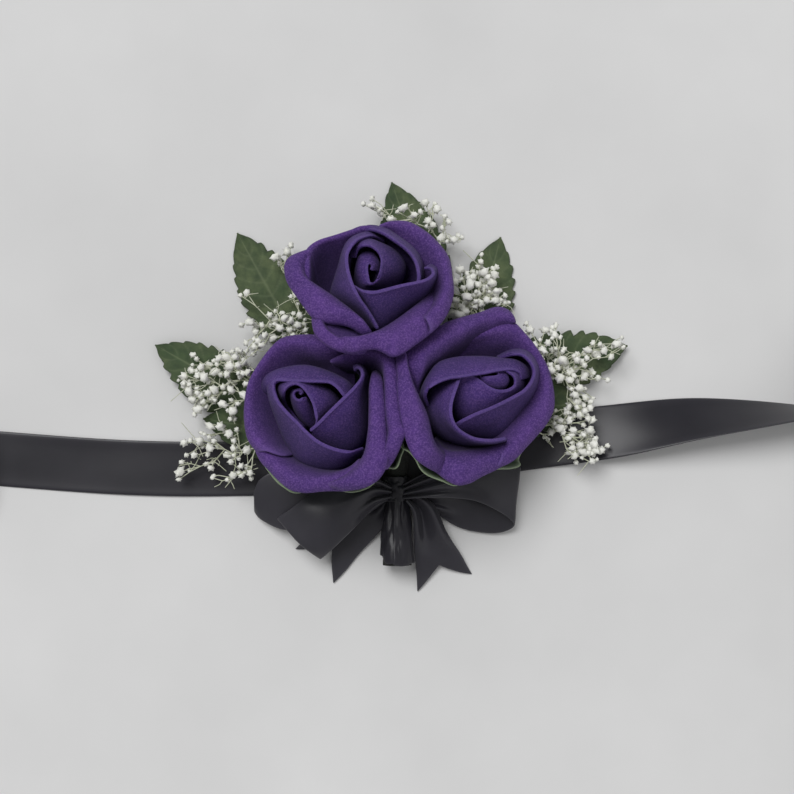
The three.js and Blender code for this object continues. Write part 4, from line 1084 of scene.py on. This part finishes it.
makeRibbon()
makeRoll("ribbon_roll_left", placeLeftTurn)
makeRoll("ribbon_roll_right", placeRightTurn)

# The bow: loops and tails are one ribbon gathered to a narrow pinch under the knot. Each
# piece has two selvedges, drawn by stations of photo pixels with a height in millimetres.
# notch is the depth of a swallow tail as a share of the ribbon's width.
bowLook = {
    "columns": 30,
    "loopRows": 96,
    "tailRows": 64,
    "deepestFold": 2.0,
    "flatShare": 0.98,       # a ribbon this wide or wider has no pleats
    "minorFold": 0.25,       # smaller pleats between the main ones
    "minorCount": 1.7,
    "minorPhase": 2,
    "probe": 0.02,
    "bulgeFade": (0.1, 0.6),
    "waver": 0.9,
    "waverFade": (0.0, 0.5),
    "firstSeed": 1,
    "seedStep": 2.3,
}
bowPieces = {
    "bow_loop_left_back": {
        "low": [(386, 501, 7.6), (356, 517, 9.0), (318, 527, 8.6), (284, 530, 6.4),
                (264, 520, 3.4), (255, 509, 2.0), (270, 514, 1.2), (310, 514, 1.6),
                (350, 508, 3.2), (386, 502, 5.6)],
        "high": [(386, 490, 7.6), (352, 478, 9.6), (312, 468, 9.8), (278, 468, 8.6),
                 (259, 481, 7.2), (253, 495, 5.4), (266, 480, 3.0), (306, 474, 2.2),
                 (350, 480, 3.6), (386, 492, 5.6)],
        "bulge": 0.8, "notch": 0.0, "folds": 3.0, "phase": 1.0, "fade": (0.25, 0.85),
    },
    "bow_loop_left_front": {
        "low": [(391, 499, 10.7), (376, 508, 13.2), (350, 532, 13.0), (331, 551, 11.6),
                (321, 561, 9.0), (331, 549, 6.8), (350, 530, 6.4), (376, 508, 7.4),
                (389, 499, 9.6)],
        "high": [(391, 486, 10.8), (368, 476, 13.8), (332, 484, 14.0), (299, 502, 12.6),
                 (278, 518, 9.2), (297, 503, 7.0), (330, 485, 6.6), (368, 480, 7.6),
                 (389, 489, 9.6)],
        "bulge": 3.6, "notch": 0.0, "folds": 3.0, "phase": 1.0, "fade": (0.25, 0.8),
    },
    "bow_loop_right": {
        "low": [(403, 499, 10.7), (424, 498, 14.0), (450, 498, 15.0), (476, 502, 14.4),
                (498, 511, 12.0), (513, 525, 7.0), (501, 531, 2.6), (472, 531, 1.8),
                (446, 521, 3.4), (424, 507, 5.4), (409, 500, 7.2)],
        "high": [(403, 485, 10.8), (424, 474, 13.6), (452, 462, 14.6), (480, 458, 14.2),
                 (505, 459, 12.0), (521, 467, 8.4), (510, 474, 4.0), (478, 476, 2.6),
                 (448, 478, 3.8), (424, 484, 5.6), (409, 490, 7.2)],
        "bulge": 2.6, "notch": 0.0, "folds": 3.0, "phase": 1.0, "fade": (0.25, 0.9),
    },
    "bow_tail_left": {
        "low": [(387, 503, 5.2), (389, 515, 4.6), (379, 534, 2.8), (356, 558, 1.2),
                (333, 583, 0.4)],
        "high": [(386, 492, 5.0), (368, 497, 4.6), (344, 508, 3.0), (318, 528, 1.4),
                 (294, 549, 0.4)],
        "bulge": 0.5, "notch": 0.36, "folds": 2.0, "phase": 0.6, "fade": (0.12, 0.5),
    },
    "bow_tail_right": {
        "low": [(406, 501, 9.4), (412.5, 513, 9.6), (413, 537, 6.8), (415, 563, 3.4),
                (417, 591, 0.4)],
        "high": [(409, 490, 9.0), (434, 505, 9.2), (449, 537, 6.0), (461, 556, 2.8),
                 (472, 573, 0.4)],
        "bulge": 0.4, "notch": 0.36, "folds": 1.5, "phase": 0.9, "fade": (0.3, 0.75),
    },
}


# Pleats take up what the narrow place has too much of, and fade as the ribbon opens
def pleat(item, across, along, side):
    full = sizes["ribbonWidth"]
    width = side.length
    if width > full * bowLook["flatShare"]:
        return Vector()
    height = width / item["folds"] / math.pi * math.sqrt(full / width - 1)
    wave = math.sin(math.pi * item["folds"] * (across + 1) + item["phase"])
    wave += bowLook["minorFold"] * math.sin(math.pi * item["folds"] * bowLook["minorCount"] * across
                                            + item["phase"] * bowLook["minorPhase"])
    normal = along.cross(side).normalized()
    return normal * (wave * min(height, bowLook["deepestFold"]))


def makeBowPiece(name, item, seed):
    low = [photoPoint(*station) for station in item["low"]]
    high = [photoPoint(*station) for station in item["high"]]
    loop = item["notch"] == 0.0
    middle = [a.lerp(b, 0.5) for a, b in zip(low, high)]
    length = sum((b - a).length for a, b in zip(middle, middle[1:]))
    notch = item["notch"] * sizes["ribbonWidth"] / length

    def place(u, v):
        across = 2 * u - 1
        share = v * (1 - notch * (1 - abs(across)))
        a, b = alongPoints(low, share), alongPoints(high, share)
        later, sooner = min(1.0, share + bowLook["probe"]), max(0.0, share - bowLook["probe"])
        along = alongPoints(middle, later) - alongPoints(middle, sooner)
        side = b - a
        point = a.lerp(b, u)
        knotward = math.sin(math.pi * share) if loop else share
        fade = 1 - smoothStep(knotward, *item["fade"])
        bulge = item["bulge"] * (1 - across ** 2)
        point += pleat(item, across, along, side) * fade
        point += up * (bulge * smoothStep(knotward, *bowLook["bulgeFade"]))
        waves = waver(point, seed, bowLook["waver"])
        point += waves * smoothStep(knotward, *bowLook["waverFade"])
        return Vector((point.x, point.y, max(point.z, sizes["ribbonThickness"] / 2)))

    flat = (sizes["ribbonWidth"], length)
    rows = bowLook["loopRows"] if loop else bowLook["tailRows"]
    edges = ("u0", "u1") if loop else ("u0", "u1", "v1")
    piece = sheetPiece(name + "_satin", (bowLook["columns"], rows), place, flat,
                       sizes["ribbonThickness"], rimEdges=edges)
    finishPiece(piece, "bow", name)


# The bundle of stems, bound tightest under the knot, and a little wider at both ends
bundleLook = {
    "least": 3.3,
    "mouthRise": 1.6,
    "endRise": 2.0,
    "endPart": (12.0, 36.0),   # the bundle widens over this part of -y
}


def bundleRadius(y):
    toMouth = smoothStep(y, sizes["knotY"], sizes["bundleMouthY"])
    toEnd = smoothStep(-y, *bundleLook["endPart"])
    return bundleLook["least"] + bundleLook["mouthRise"] * toMouth + bundleLook["endRise"] * toEnd


def bundlePoint(radius, angle, y):
    return Vector((radius * math.cos(angle), y,
                   sizes["bundleHeight"] + radius * math.sin(angle)))


# Knot band and stem wrap are strips wound round the bundle. An angle of 90 is on top.
windLook = {
    "bow_knot": {"over": 1.5, "firstY": -4.8, "lastY": -13.6, "startAngle": -70,
                 "turn": 400, "step": 0.4, "crease": 0.7, "slant": 0.3, "finest": 0.4,
                 "fray": 0.6, "nick": 0.0, "strip": 12.5, "thickness": 0.4},
    "stem_wrap": {"over": 0.85, "firstY": -12.4, "lastY": -36.2, "startAngle": 101,
                  "turn": 420, "step": 0.4, "crease": 0.9, "slant": 0.2, "finest": 0.09,
                  "fray": 1.0, "nick": 3.4, "strip": 24.0, "thickness": 0.5},
}
woundShape = {
    "grid": (44, 150),
    "around": 1.7,             # scale of the creases round the bundle
    "fineCrease": 0.35,        # smaller creases on the main ones
    "fineScale": 2.3,
    "startLift": 0.4,          # the strip's outer end stands off a little
    "startPart": (0.0, 0.05),
    "frayScale": 1.3,
    "fraySeed": 9.0,
    "frayPart": (0.4, 1.0),
    "nickSide": (0.55, 1.0),   # the nick is on the left, at the end
    "nickPart": (0.5, 1.0),
    "seedStep": 3.7,
}


def makeWound(name, look, seed):
    def place(u, v):
        turned = math.radians(look["turn"]) * v
        angle = math.radians(look["startAngle"]) - turned
        y = mixValues(look["firstY"], look["lastY"], u)
        radius = bundleRadius(y) + look["over"] - look["step"] * v
        around = Vector((math.cos(angle) * woundShape["around"],
                         math.sin(angle) * woundShape["around"],
                         y * look["finest"] + look["slant"] * turned + seed))
        fine = noise.noise(around * woundShape["fineScale"])
        radius += look["crease"] * (noise.noise(around) + woundShape["fineCrease"] * fine)
        radius += woundShape["startLift"] * (1 - smoothStep(v, *woundShape["startPart"]))
        fray = noise.noise(Vector((turned * woundShape["frayScale"], woundShape["fraySeed"], seed)))
        y += look["fray"] * fray * smoothStep(u, *woundShape["frayPart"])
        nick = look["nick"] * smoothStep(-math.cos(angle), *woundShape["nickSide"])
        y += nick * smoothStep(u, *woundShape["nickPart"])
        return bundlePoint(radius, angle, y)

    radius = look["over"] + bundleRadius((look["firstY"] + look["lastY"]) / 2)
    flat = (look["strip"], math.radians(look["turn"]) * radius)
    piece = sheetPiece(name + "_satin", woundShape["grid"], place, flat, look["thickness"],
                       rimEdges=("u0", "u1", "v0"))
    finishPiece(piece, "ribbon", name)


for number, (name, look) in enumerate(windLook.items()):
    makeWound(name, look, number * woundShape["seedStep"])
for number, (name, item) in enumerate(bowPieces.items()):
    makeBowPiece(name, item, number * bowLook["seedStep"] + bowLook["firstSeed"])
print("ribbon and bow made")

# Tape: a strip wound round the bundle in a slanting winding, each turn over the last
tapeLook = {
    "turns": 8,
    "step": 0.28,               # from one turn up to the next
    "rows": 190,
    "columns": 48,
    "endInset": 0.5,
    "wrinkle": 0.1,
    "wrinkleScale": (2, 60),    # round the bundle and along it
    "wrinkleSeed": 1.0,
}


def makeTape():
    bm = bmesh.new()
    bmesh.ops.create_cone(bm, segments=tapeLook["columns"], radius1=1, radius2=1, depth=1,
                          cap_ends=True)
    sides = [edge for edge in bm.edges if abs(edge.verts[0].co.z - edge.verts[1].co.z) > 0.5]
    bmesh.ops.subdivide_edges(bm, edges=sides, cuts=tapeLook["rows"])
    first, last = sizes["bundleEndY"] + tapeLook["endInset"], sizes["bundleMouthY"]
    aroundScale, alongScale = tapeLook["wrinkleScale"]
    for vert in bm.verts:
        share = vert.co.z + 0.5
        angle = math.atan2(vert.co.y, vert.co.x)
        winding = (share * tapeLook["turns"] + angle / (2 * math.pi)) % 1.0
        y = mixValues(first, last, share)
        wrinkle = noise.noise(Vector((angle * aroundScale, share * alongScale,
                                      tapeLook["wrinkleSeed"])))
        radius = bundleRadius(y) - tapeLook["step"] * winding + tapeLook["wrinkle"] * wrinkle
        vert.co = bundlePoint(radius, angle, y) * mm
    bmesh.ops.recalc_face_normals(bm, faces=bm.faces)
    finishPiece(linkPiece("stem_tape_wound", bm), "tape", "stem_tape")


makeTape()

# Stems of the roses, from the bundle's end up into each calyx. A slot is x, and a rise above
# the bundle's middle.
stemSlots = {
    "rose_upper": (0.0, 2.6),
    "rose_left": (-1.325, 0.88),
    "rose_right": (1.325, 0.88),
}
stemLook = {
    "approach": 0.25,    # where a stem turns towards its rose, and how high
    "drop": 0.5,
    "pastMouth": 2,
    "bendBack": 2,       # in stem radii, below the head
    "top": 0.06,         # in head radii, inside it
    "steps": 24,
    "sides": 12,
}


# Where stems and wires begin, and where they leave the tape
def bundleEnds(x, height):
    return [Vector((x, sizes["bundleEndY"] + sizes["wireInset"], height)),
            Vector((x, sizes["bundleMouthY"], height))]


def wireMouth(slot, height):
    reach = sizes["wirePitch"] * (sizes["outermostSlot"] - abs(slot))
    return Vector((slot * sizes["wirePitch"], sizes["bundleMouthY"] + reach, height))


def makeStem(roseName):
    rose = roses[roseName]
    axis = headAxis(rose)
    x, rise = stemSlots[roseName]
    height = sizes["bundleHeight"] + rise
    bend = rose["base"] - axis * stemLook["bendBack"] * sizes["stemRadius"]
    outside = Vector((x, sizes["bundleMouthY"] + stemLook["pastMouth"], height))
    approach = bend.lerp(outside, stemLook["approach"])
    approach.z = mixValues(bend.z, height, stemLook["drop"])
    way = Way([*bundleEnds(x, height), approach, bend,
               rose["base"] + axis * stemLook["top"] * headRadius])
    bar = barMesh(way.evenPoints(stemLook["steps"]), [sizes["stemRadius"]], stemLook["sides"])
    finishPiece(joinMeshes(roseName + "_stem_bar", [bar]), "stem", roseName + "_stem")


# The calyx: a thin cup under each head, whose edge runs out into sepals. Its edge is drawn
# all round by photo pixels, each with a height share.
calyxLook = {
    "thickness": 0.8,
    "belly": (0.62, 0.12),    # a share of the edge's reach, and a height share
    "low": (0.3, -0.02),
    "hub": (0.06, -0.05),
    "grid": (132, 18),
    "flat": (90, 20),
    "waver": 0.3,
    "seed": 5.0,
}


def makeCalyx(roseName):
    rose = roses[roseName]
    edge = headLine(rose, rose["calyx"])
    ring = [edge[-1], *edge, edge[0], edge[1]]
    steps = len(ring) - 1

    def place(u, v):
        end = alongPoints(ring, (1 + u * len(edge)) / steps)
        section = [belowRim(rose, end, *calyxLook[level]) for level in ("hub", "low", "belly")]
        point = alongSection([*section, end], v)
        return point + waver(point, calyxLook["seed"], calyxLook["waver"])

    piece = sheetPiece(roseName + "_calyx_cup", calyxLook["grid"], place, calyxLook["flat"],
                       calyxLook["thickness"], joinSides=True)
    finishPiece(piece, "calyx", roseName + "_calyx")


for roseName in roses:
    makeStem(roseName)
    makeCalyx(roseName)
print("stems, tape and calyxes made")

# Leaves: a serrated cloth blade on a wire. Tips are shares of the leaf's length, slot and
# row are the wire's place in the bundle, and the levels are heights of the blade's two ends.
leafShape = {
    "length": 48.0,
    "width": 23.0,
    "thickness": 0.4,
    "grid": (26, 132),
    "teeth": 11,
    "toothShare": 0.2,
    "toothSize": (0.7, 1.1),     # the least, and how much is left to chance
    "toothScale": 1.7,
    "toothSlope": (-0.1, 0.9),
    "toothPower": 6,             # keeps the teeth at the edge
    "fold": 0.6,
    "fullness": 0.8,
    "bluntness": 0.5,
    "tipSlope": 3.7,
    "blend": 5,                  # of body and tip
    "least": 1e-4,               # keeps both of them above nothing
    "leastHalf": 0.25,
    "midribWidth": 0.05,
    "midribDepth": 0.35,
    "ribs": 7,
    "ribCrowding": 1.25,
    "ribSlant": 0.17,
    "ribCurve": 1.25,
    "ribWidth": 0.08,
    "ribDepth": 0.16,
    "ribStart": (0.02, 0.1),     # across the blade, from the midrib out
    "ribEnd": (0.75, 1.0),
    "firstRib": 0.4,
    "ribShade": 0.55,
    "waver": 0.9,
    "waverScale": (2.6, 0.9),
    "sway": 1.0,
    "swaySeed": 2.0,
    "lowest": 0.3,               # above the table
    "areaSteps": 40,
}
leafWire = {
    "radii": (0.4, 0.25),
    "sides": 8,
    "steps": 34,
    "approach": (0.4, 0.25),     # from the blade to the bundle, on the way and in height
    "under": 0.275,
    "glued": (0.35, 0.7),        # shares of the blade
}
leafSeeds = {"first": 0.6, "step": 1.9, "toothStep": 0.37}
leaves = {
    "leaf_left_low": {"tip": (-1.46, 0.33), "heading": 170, "slot": -2.15, "row": 4.805,
                      "level": 4.55, "tipLevel": 4.55},
    "leaf_left": {"tip": (-1.825, 0.885), "heading": 149, "slot": -1.15, "row": 4.805,
                  "level": 2.875, "tipLevel": 2.875},
    "leaf_left_upper": {"tip": (-1.21, 1.735), "heading": 120, "slot": 0, "row": 4.805,
                        "level": 1.2, "tipLevel": 0.4},
    "leaf_top": {"tip": (-0.04, 2.12), "heading": 109, "slot": -0.5, "row": 3.555,
                 "level": 2.875, "tipLevel": 0.4},
    "leaf_right_upper": {"tip": (0.785, 1.705), "heading": 75, "slot": 0.5, "row": 3.555,
                         "level": 1.2, "tipLevel": 0.4},
    "leaf_right": {"tip": (1.74, 0.88), "heading": 14, "slot": 1.15, "row": 4.805,
                   "level": 2.875, "tipLevel": 2.875},
    "leaf_right_low": {"tip": (1.46, 0.45), "heading": 5, "slot": 2.15, "row": 4.805,
                       "level": 4.55, "tipLevel": 4.55},
}


def bladeShare(v):
    blend = leafShape["blend"]
    body = max(leafShape["least"], math.sin(math.pi * v ** leafShape["fullness"]))
    body = body ** leafShape["bluntness"]
    tip = max(leafShape["least"], (1 - v) * leafShape["tipSlope"])
    return (body ** -blend + tip ** -blend) ** (-1 / blend)


def toothedShare(v, offset):
    place = v * leafShape["teeth"] + offset
    least, chance = leafShape["toothSize"]
    spot = Vector((math.floor(place) * leafShape["toothScale"], offset, 0))
    size = least + chance * noise.noise(spot)
    slope = 1 - smoothStep(place % 1.0, *leafShape["toothSlope"])
    return 1 - leafShape["toothShare"] * size * slope


# Midrib and side ribs
def ribMasks(across, v):
    away = abs(across)
    middle = math.exp(-(across / leafShape["midribWidth"]) ** 2)
    place = v - leafShape["ribSlant"] * away ** leafShape["ribCurve"]
    place = place * leafShape["ribs"] * leafShape["ribCrowding"]
    if place < leafShape["firstRib"]:
        return middle, 0.0
    nearest = abs(place - round(place))
    side = math.exp(-(nearest / leafShape["ribWidth"]) ** 2)
    side *= smoothStep(away, *leafShape["ribStart"])
    return middle, side * (1 - smoothStep(away, *leafShape["ribEnd"]))


def makeLeaf(name, item, seed):
    length, width = leafShape["length"], leafShape["width"]
    heading = math.radians(item["heading"])
    forward = Vector((math.cos(heading), math.sin(heading), 0))
    side = Vector((-forward.y, forward.x, 0))
    tip = Vector((item["tip"][0] * length, item["tip"][1] * length, item["tipLevel"]))
    base = tip - forward * length
    base.z = item["level"]
    offset = seed * leafSeeds["toothStep"]
    alongScale, acrossScale = leafShape["waverScale"]

    def place(u, v):
        across = 2 * u - 1
        body = bladeShare(v)
        toothed = toothedShare(v, offset + (0.5 if across > 0 else 0.0))
        toothed = mixValues(1.0, toothed, abs(across) ** leafShape["toothPower"])
        half = max(leafShape["leastHalf"], width / 2 * body * toothed)
        middle, ribs = ribMasks(across, v)
        waves = noise.noise(Vector((v * alongScale, across * acrossScale, seed)))
        lift = leafShape["fold"] * abs(across) * body
        lift -= leafShape["midribDepth"] * middle * body + leafShape["ribDepth"] * ribs
        lift += leafShape["waver"] * waves * body
        sway = leafShape["sway"] * math.sin(math.pi * v)
        sway *= noise.noise(Vector((seed, leafShape["swaySeed"], 0)))
        point = base.lerp(tip, v) + side * (across * half + sway)
        return Vector((point.x, point.y, max(leafShape["lowest"], point.z + lift)))

    def vein(u, v):
        middle, ribs = ribMasks(2 * u - 1, v)
        return max(middle, ribs * leafShape["ribShade"])

    piece = sheetPiece(name + "_cloth", leafShape["grid"], place, (width, length),
                       leafShape["thickness"], rimEdges=("u0", "u1"), smoothLevels=0, veinsAndPaintedShade=vein)
    finishPiece(piece, "leaf", name)
    makeLeafWire(name, item, base, tip)


def makeLeafWire(name, item, base, tip):
    mouth = wireMouth(item["slot"], item["row"])
    onTheWay, inHeight = leafWire["approach"]
    approach = base.lerp(mouth, onTheWay)
    approach.z = mixValues(item["level"], item["row"], inHeight)
    under = up * leafWire["under"]
    way = Way([*bundleEnds(mouth.x, item["row"]), mouth, approach, base - under,
               *[base.lerp(tip, share) - under for share in leafWire["glued"]]])
    points = [Vector((p.x, p.y, max(p.z, leafShape["lowest"])))
              for p in way.evenPoints(leafWire["steps"])]
    wire = joinMeshes(name + "_wire", [barMesh(points, leafWire["radii"], leafWire["sides"])])
    finishPiece(wire, "stem", name)


for number, (name, item) in enumerate(leaves.items()):
    makeLeaf(name, item, number * leafSeeds["step"] + leafSeeds["first"])
print("leaves made")

# Baby's breath. Each spray forks outside the roses, at a place given in shares of the head's
# radius, and its blossoms are placed by photo pixels between two levels. Every blossom joins
# the nearest joint that lies closer to the fork.
fullTurn = 6.28
blossomLook = {
    "radius": (1.05, 1.65),
    "length": (0.9, 1.45),
    "pitch": 3,
    "point": 1.22,         # radius shares of the points, and of the hollows between them
    "hollow": 0.84,
    "ragged": 0.5,
    "raggedScale": 1.6,
    "seedSpread": 50,
    "subdivisions": 2,
}
sprayLook = {
    "forkHeight": 8.665,
    "extras": 4,                  # at most, round each blossom of the list
    "extraReach": 10.0,           # in pixels
    "extraShare": (0.5, 1),
    "extraDrop": (0.5, 3.5),
    "extraLowest": 6.0,
    "extraSize": 0.66,
    "nearerShare": 0.8,
    "forkPull": 0.35,
    "jointShare": (0.5, 0.7),
    "jointLift": (-0.4, 0.8),
    "jointSwing": 0.9,
    "twigStart": 0.3,
    "twigEnd": 0.17,
    "thinReach": 26,              # from the fork to the thinnest twigs
    "taper": (0.9, 0.8),
    "twigSides": 6,
}
bareLook = {
    "perBlossom": 1.6,            # twigs without a blossom, for each one of the list
    "reach": 5.5,
    "thick": 0.15,
    "lift": (-0.2, 0.3),
    "bend": 0.6,
    "middleLowest": 1.5,
    "endLowest": 1.0,
}
sprayWire = {
    "drop": 0.92,                 # below the bundle's middle
    "level": 6.225,
    "levelPart": (0.35, 0.75),    # the wire runs level on this part of the way to the fork
    "steps": 30,
    "sides": 8,
}
sprays = {
    "spray_left_low": {
        "fork": (-1.56, 0.2), "slot": -3, "levels": (7.0, 13.5),
        "blossoms": [(220, 426), (229, 434), (210, 426), (184, 443), (199, 441), (210, 448),
                     (194, 455), (234, 448), (227, 455), (234, 456), (231, 462), (211, 468),
                     (180, 472), (241, 466), (233, 475), (250, 473), (214, 441), (247, 450)],
    },
    "spray_left": {
        "fork": (-1.63, 0.95), "slot": -2, "levels": (8.5, 15.5),
        "blossoms": [(193, 355), (201, 367), (184, 376), (185, 385), (204, 377), (215, 372),
                     (230, 366), (227, 374), (214, 390), (208, 393), (197, 388), (189, 391),
                     (199, 395), (192, 399), (203, 401), (198, 409), (223, 387), (231, 390),
                     (223, 404), (233, 411), (240, 375), (246, 384), (238, 365), (244, 395),
                     (248, 372), (209, 365), (219, 358), (226, 357), (235, 357), (243, 362)],
    },
    "spray_left_upper": {
        "fork": (-1.28, 1.62), "slot": -1, "levels": (8.0, 14.5),
        "blossoms": [(247, 293), (276, 257), (287, 252), (270, 315), (275, 320), (262, 325),
                     (285, 318), (291, 320), (297, 325), (280, 328), (265, 335), (256, 332),
                     (272, 338), (262, 345), (255, 347), (284, 335), (300, 316), (308, 306),
                     (298, 295), (305, 330), (293, 337), (250, 322), (258, 341), (290, 330)],
    },
    "spray_top": {
        "fork": (0.4, 2.4), "slot": 0, "levels": (8.0, 14.0),
        "blossoms": [(372, 206), (381, 213), (391, 219), (403, 208), (414, 215), (425, 203),
                     (433, 225), (441, 238), (449, 222), (428, 221), (437, 209), (454, 240)],
    },
    "spray_right_upper": {
        "fork": (0.9, 1.72), "slot": 1, "levels": (8.0, 14.5),
        "blossoms": [(481, 262), (484, 272), (467, 274), (460, 270), (473, 277), (455, 282),
                     (463, 288), (470, 284), (478, 285), (488, 277), (492, 283), (487, 291),
                     (478, 293), (495, 275), (455, 300), (460, 306), (467, 297), (450, 305),
                     (474, 305), (480, 303), (487, 300), (495, 300), (497, 291), (505, 296),
                     (453, 314), (459, 315), (465, 311)],
    },
    "spray_right": {
        "fork": (1.7, 0.98), "slot": 2, "levels": (8.5, 15.5),
        "blossoms": [(530, 330), (545, 330), (548, 343), (543, 350), (534, 345), (552, 350),
                     (564, 349), (541, 358), (551, 370), (545, 375), (565, 365), (570, 372),
                     (577, 360), (582, 362), (596, 354), (604, 351), (611, 357), (588, 350),
                     (617, 344), (560, 378), (570, 380), (580, 388), (585, 376), (598, 378),
                     (575, 395), (577, 402), (586, 398), (590, 408), (585, 411), (563, 360),
                     (557, 361), (555, 335)],
    },
    "spray_right_low": {
        "fork": (1.66, 0.36), "slot": 3, "levels": (7.5, 14.0),
        "blossoms": [(556, 418), (570, 420), (580, 415), (592, 420), (590, 430), (585, 435),
                     (560, 428), (563, 432), (551, 432), (573, 430), (580, 445), (588, 440),
                     (594, 444), (596, 450), (601, 450), (573, 448), (575, 455), (583, 452),
                     (592, 461), (567, 410)],
    },
}


# A blossom is a small tuft of pointed petals
def blossomMesh(point, radius, dice):
    bm = bmesh.new()
    bmesh.ops.create_icosphere(bm, subdivisions=blossomLook["subdivisions"], radius=1)
    seed = Vector([dice.uniform(0, blossomLook["seedSpread"]) for axis in range(3)])
    turn = Matrix.Rotation(dice.uniform(0, fullTurn), 3, "X")
    turn = turn @ Matrix.Rotation(dice.uniform(0, blossomLook["pitch"]), 3, "Y")
    longer = dice.uniform(*blossomLook["length"])
    for vert in bm.verts:
        pointed = len(vert.link_edges) == 5
        grown = blossomLook["point"] if pointed else blossomLook["hollow"]
        spot = vert.co * blossomLook["raggedScale"] + seed
        grown += blossomLook["ragged"] * noise.noise(spot)
        shape = turn @ Vector((vert.co.x, vert.co.y, vert.co.z * longer))
        vert.co = (point + shape * (radius * grown)) * mm
    made = bpy.data.meshes.new("blossom")
    bm.to_mesh(made)
    bm.free()
    return made


# The listed blossoms, and small ones scattered round each of them
def blossomSpots(item, dice):
    low, high = item["levels"]
    spots = [(px, py, dice.uniform(low, high), 1.0) for px, py in item["blossoms"]]
    for px, py, height, share in list(spots):
        for extra in range(dice.randint(0, sprayLook["extras"])):
            angle = dice.uniform(0, fullTurn)
            reach = sprayLook["extraReach"] * dice.uniform(*sprayLook["extraShare"])
            lower = max(sprayLook["extraLowest"], height - dice.uniform(*sprayLook["extraDrop"]))
            spots.append((px + reach * math.cos(angle), py + reach * math.sin(angle), lower,
                          sprayLook["extraSize"]))
    return [(photoPoint(px, py, height), share) for px, py, height, share in spots]


def anyTurn(dice, lift):
    return Vector((dice.uniform(-1, 1), dice.uniform(-1, 1), dice.uniform(*lift)))


def bareTwig(start, dice):
    turn = anyTurn(dice, bareLook["lift"])
    middle = start + turn * bareLook["reach"] * 0.5
    bendX = dice.uniform(-bareLook["bend"], bareLook["bend"])
    bendY = dice.uniform(-bareLook["bend"], bareLook["bend"])
    end = middle + Vector((turn.x + bendX, turn.y + bendY, 0.0)) * bareLook["reach"] * 0.5
    middle.z = max(bareLook["middleLowest"], middle.z)
    end.z = max(bareLook["endLowest"], end.z)
    thick = bareLook["thick"]
    radii = [thick, thick, thick * sprayLook["taper"][1]]
    return barMesh([start, middle, end], radii, sprayLook["twigSides"])


def sprayWireMesh(item, fork):
    height = sizes["bundleHeight"] - sprayWire["drop"]
    mouth = wireMouth(item["slot"], height)
    level = [Vector((*mouth.lerp(fork, share).xy, sprayWire["level"]))
             for share in sprayWire["levelPart"]]
    way = Way([*bundleEnds(mouth.x, height), mouth, *level, fork])
    return barMesh(way.evenPoints(sprayWire["steps"]), [sizes["wireRadius"]], sprayWire["sides"])


def makeSpray(name, item):
    dice = random.Random(name)
    forkX, forkY = item["fork"]
    fork = Vector((forkX * headRadius, forkY * headRadius, sprayLook["forkHeight"]))
    placed = blossomSpots(item, dice)
    placed.sort(key=lambda spot: (spot[0] - fork).length)
    joints = [fork]
    twigs, blossoms = [], []
    for point, share in placed:
        reach = (point - fork).length
        nearer = [joint for joint in joints
                  if (joint - fork).length < reach * sprayLook["nearerShare"]]
        start = min(nearer, key=lambda joint: (joint - point).length
                    + sprayLook["forkPull"] * (joint - fork).length)
        joint = start.lerp(point, dice.uniform(*sprayLook["jointShare"]))
        joint += anyTurn(dice, sprayLook["jointLift"]) * sprayLook["jointSwing"]
        radius = dice.uniform(*blossomLook["radius"]) * share
        thick = mixValues(sprayLook["twigStart"], sprayLook["twigEnd"],
                          min(1.0, reach / sprayLook["thinReach"]))
        thinner, thinnest = [thick * taper for taper in sprayLook["taper"]]
        twigs.append(barMesh([start, joint], [thick, thinner], sprayLook["twigSides"]))
        twigs.append(barMesh([joint, point], [thinner, thinnest], sprayLook["twigSides"]))
        blossoms.append(blossomMesh(point, radius, dice))
        joints.append(joint)
    for number in range(int(len(item["blossoms"]) * bareLook["perBlossom"])):
        twigs.append(bareTwig(dice.choice(joints), dice))
    twigs.append(sprayWireMesh(item, fork))
    finishPiece(joinMeshes(name + "_twigs", twigs), "twig", name)
    finishPiece(joinMeshes(name + "_blossoms", blossoms), "blossom", name)


for name, item in sprays.items():
    makeSpray(name, item)
print("sprays made")
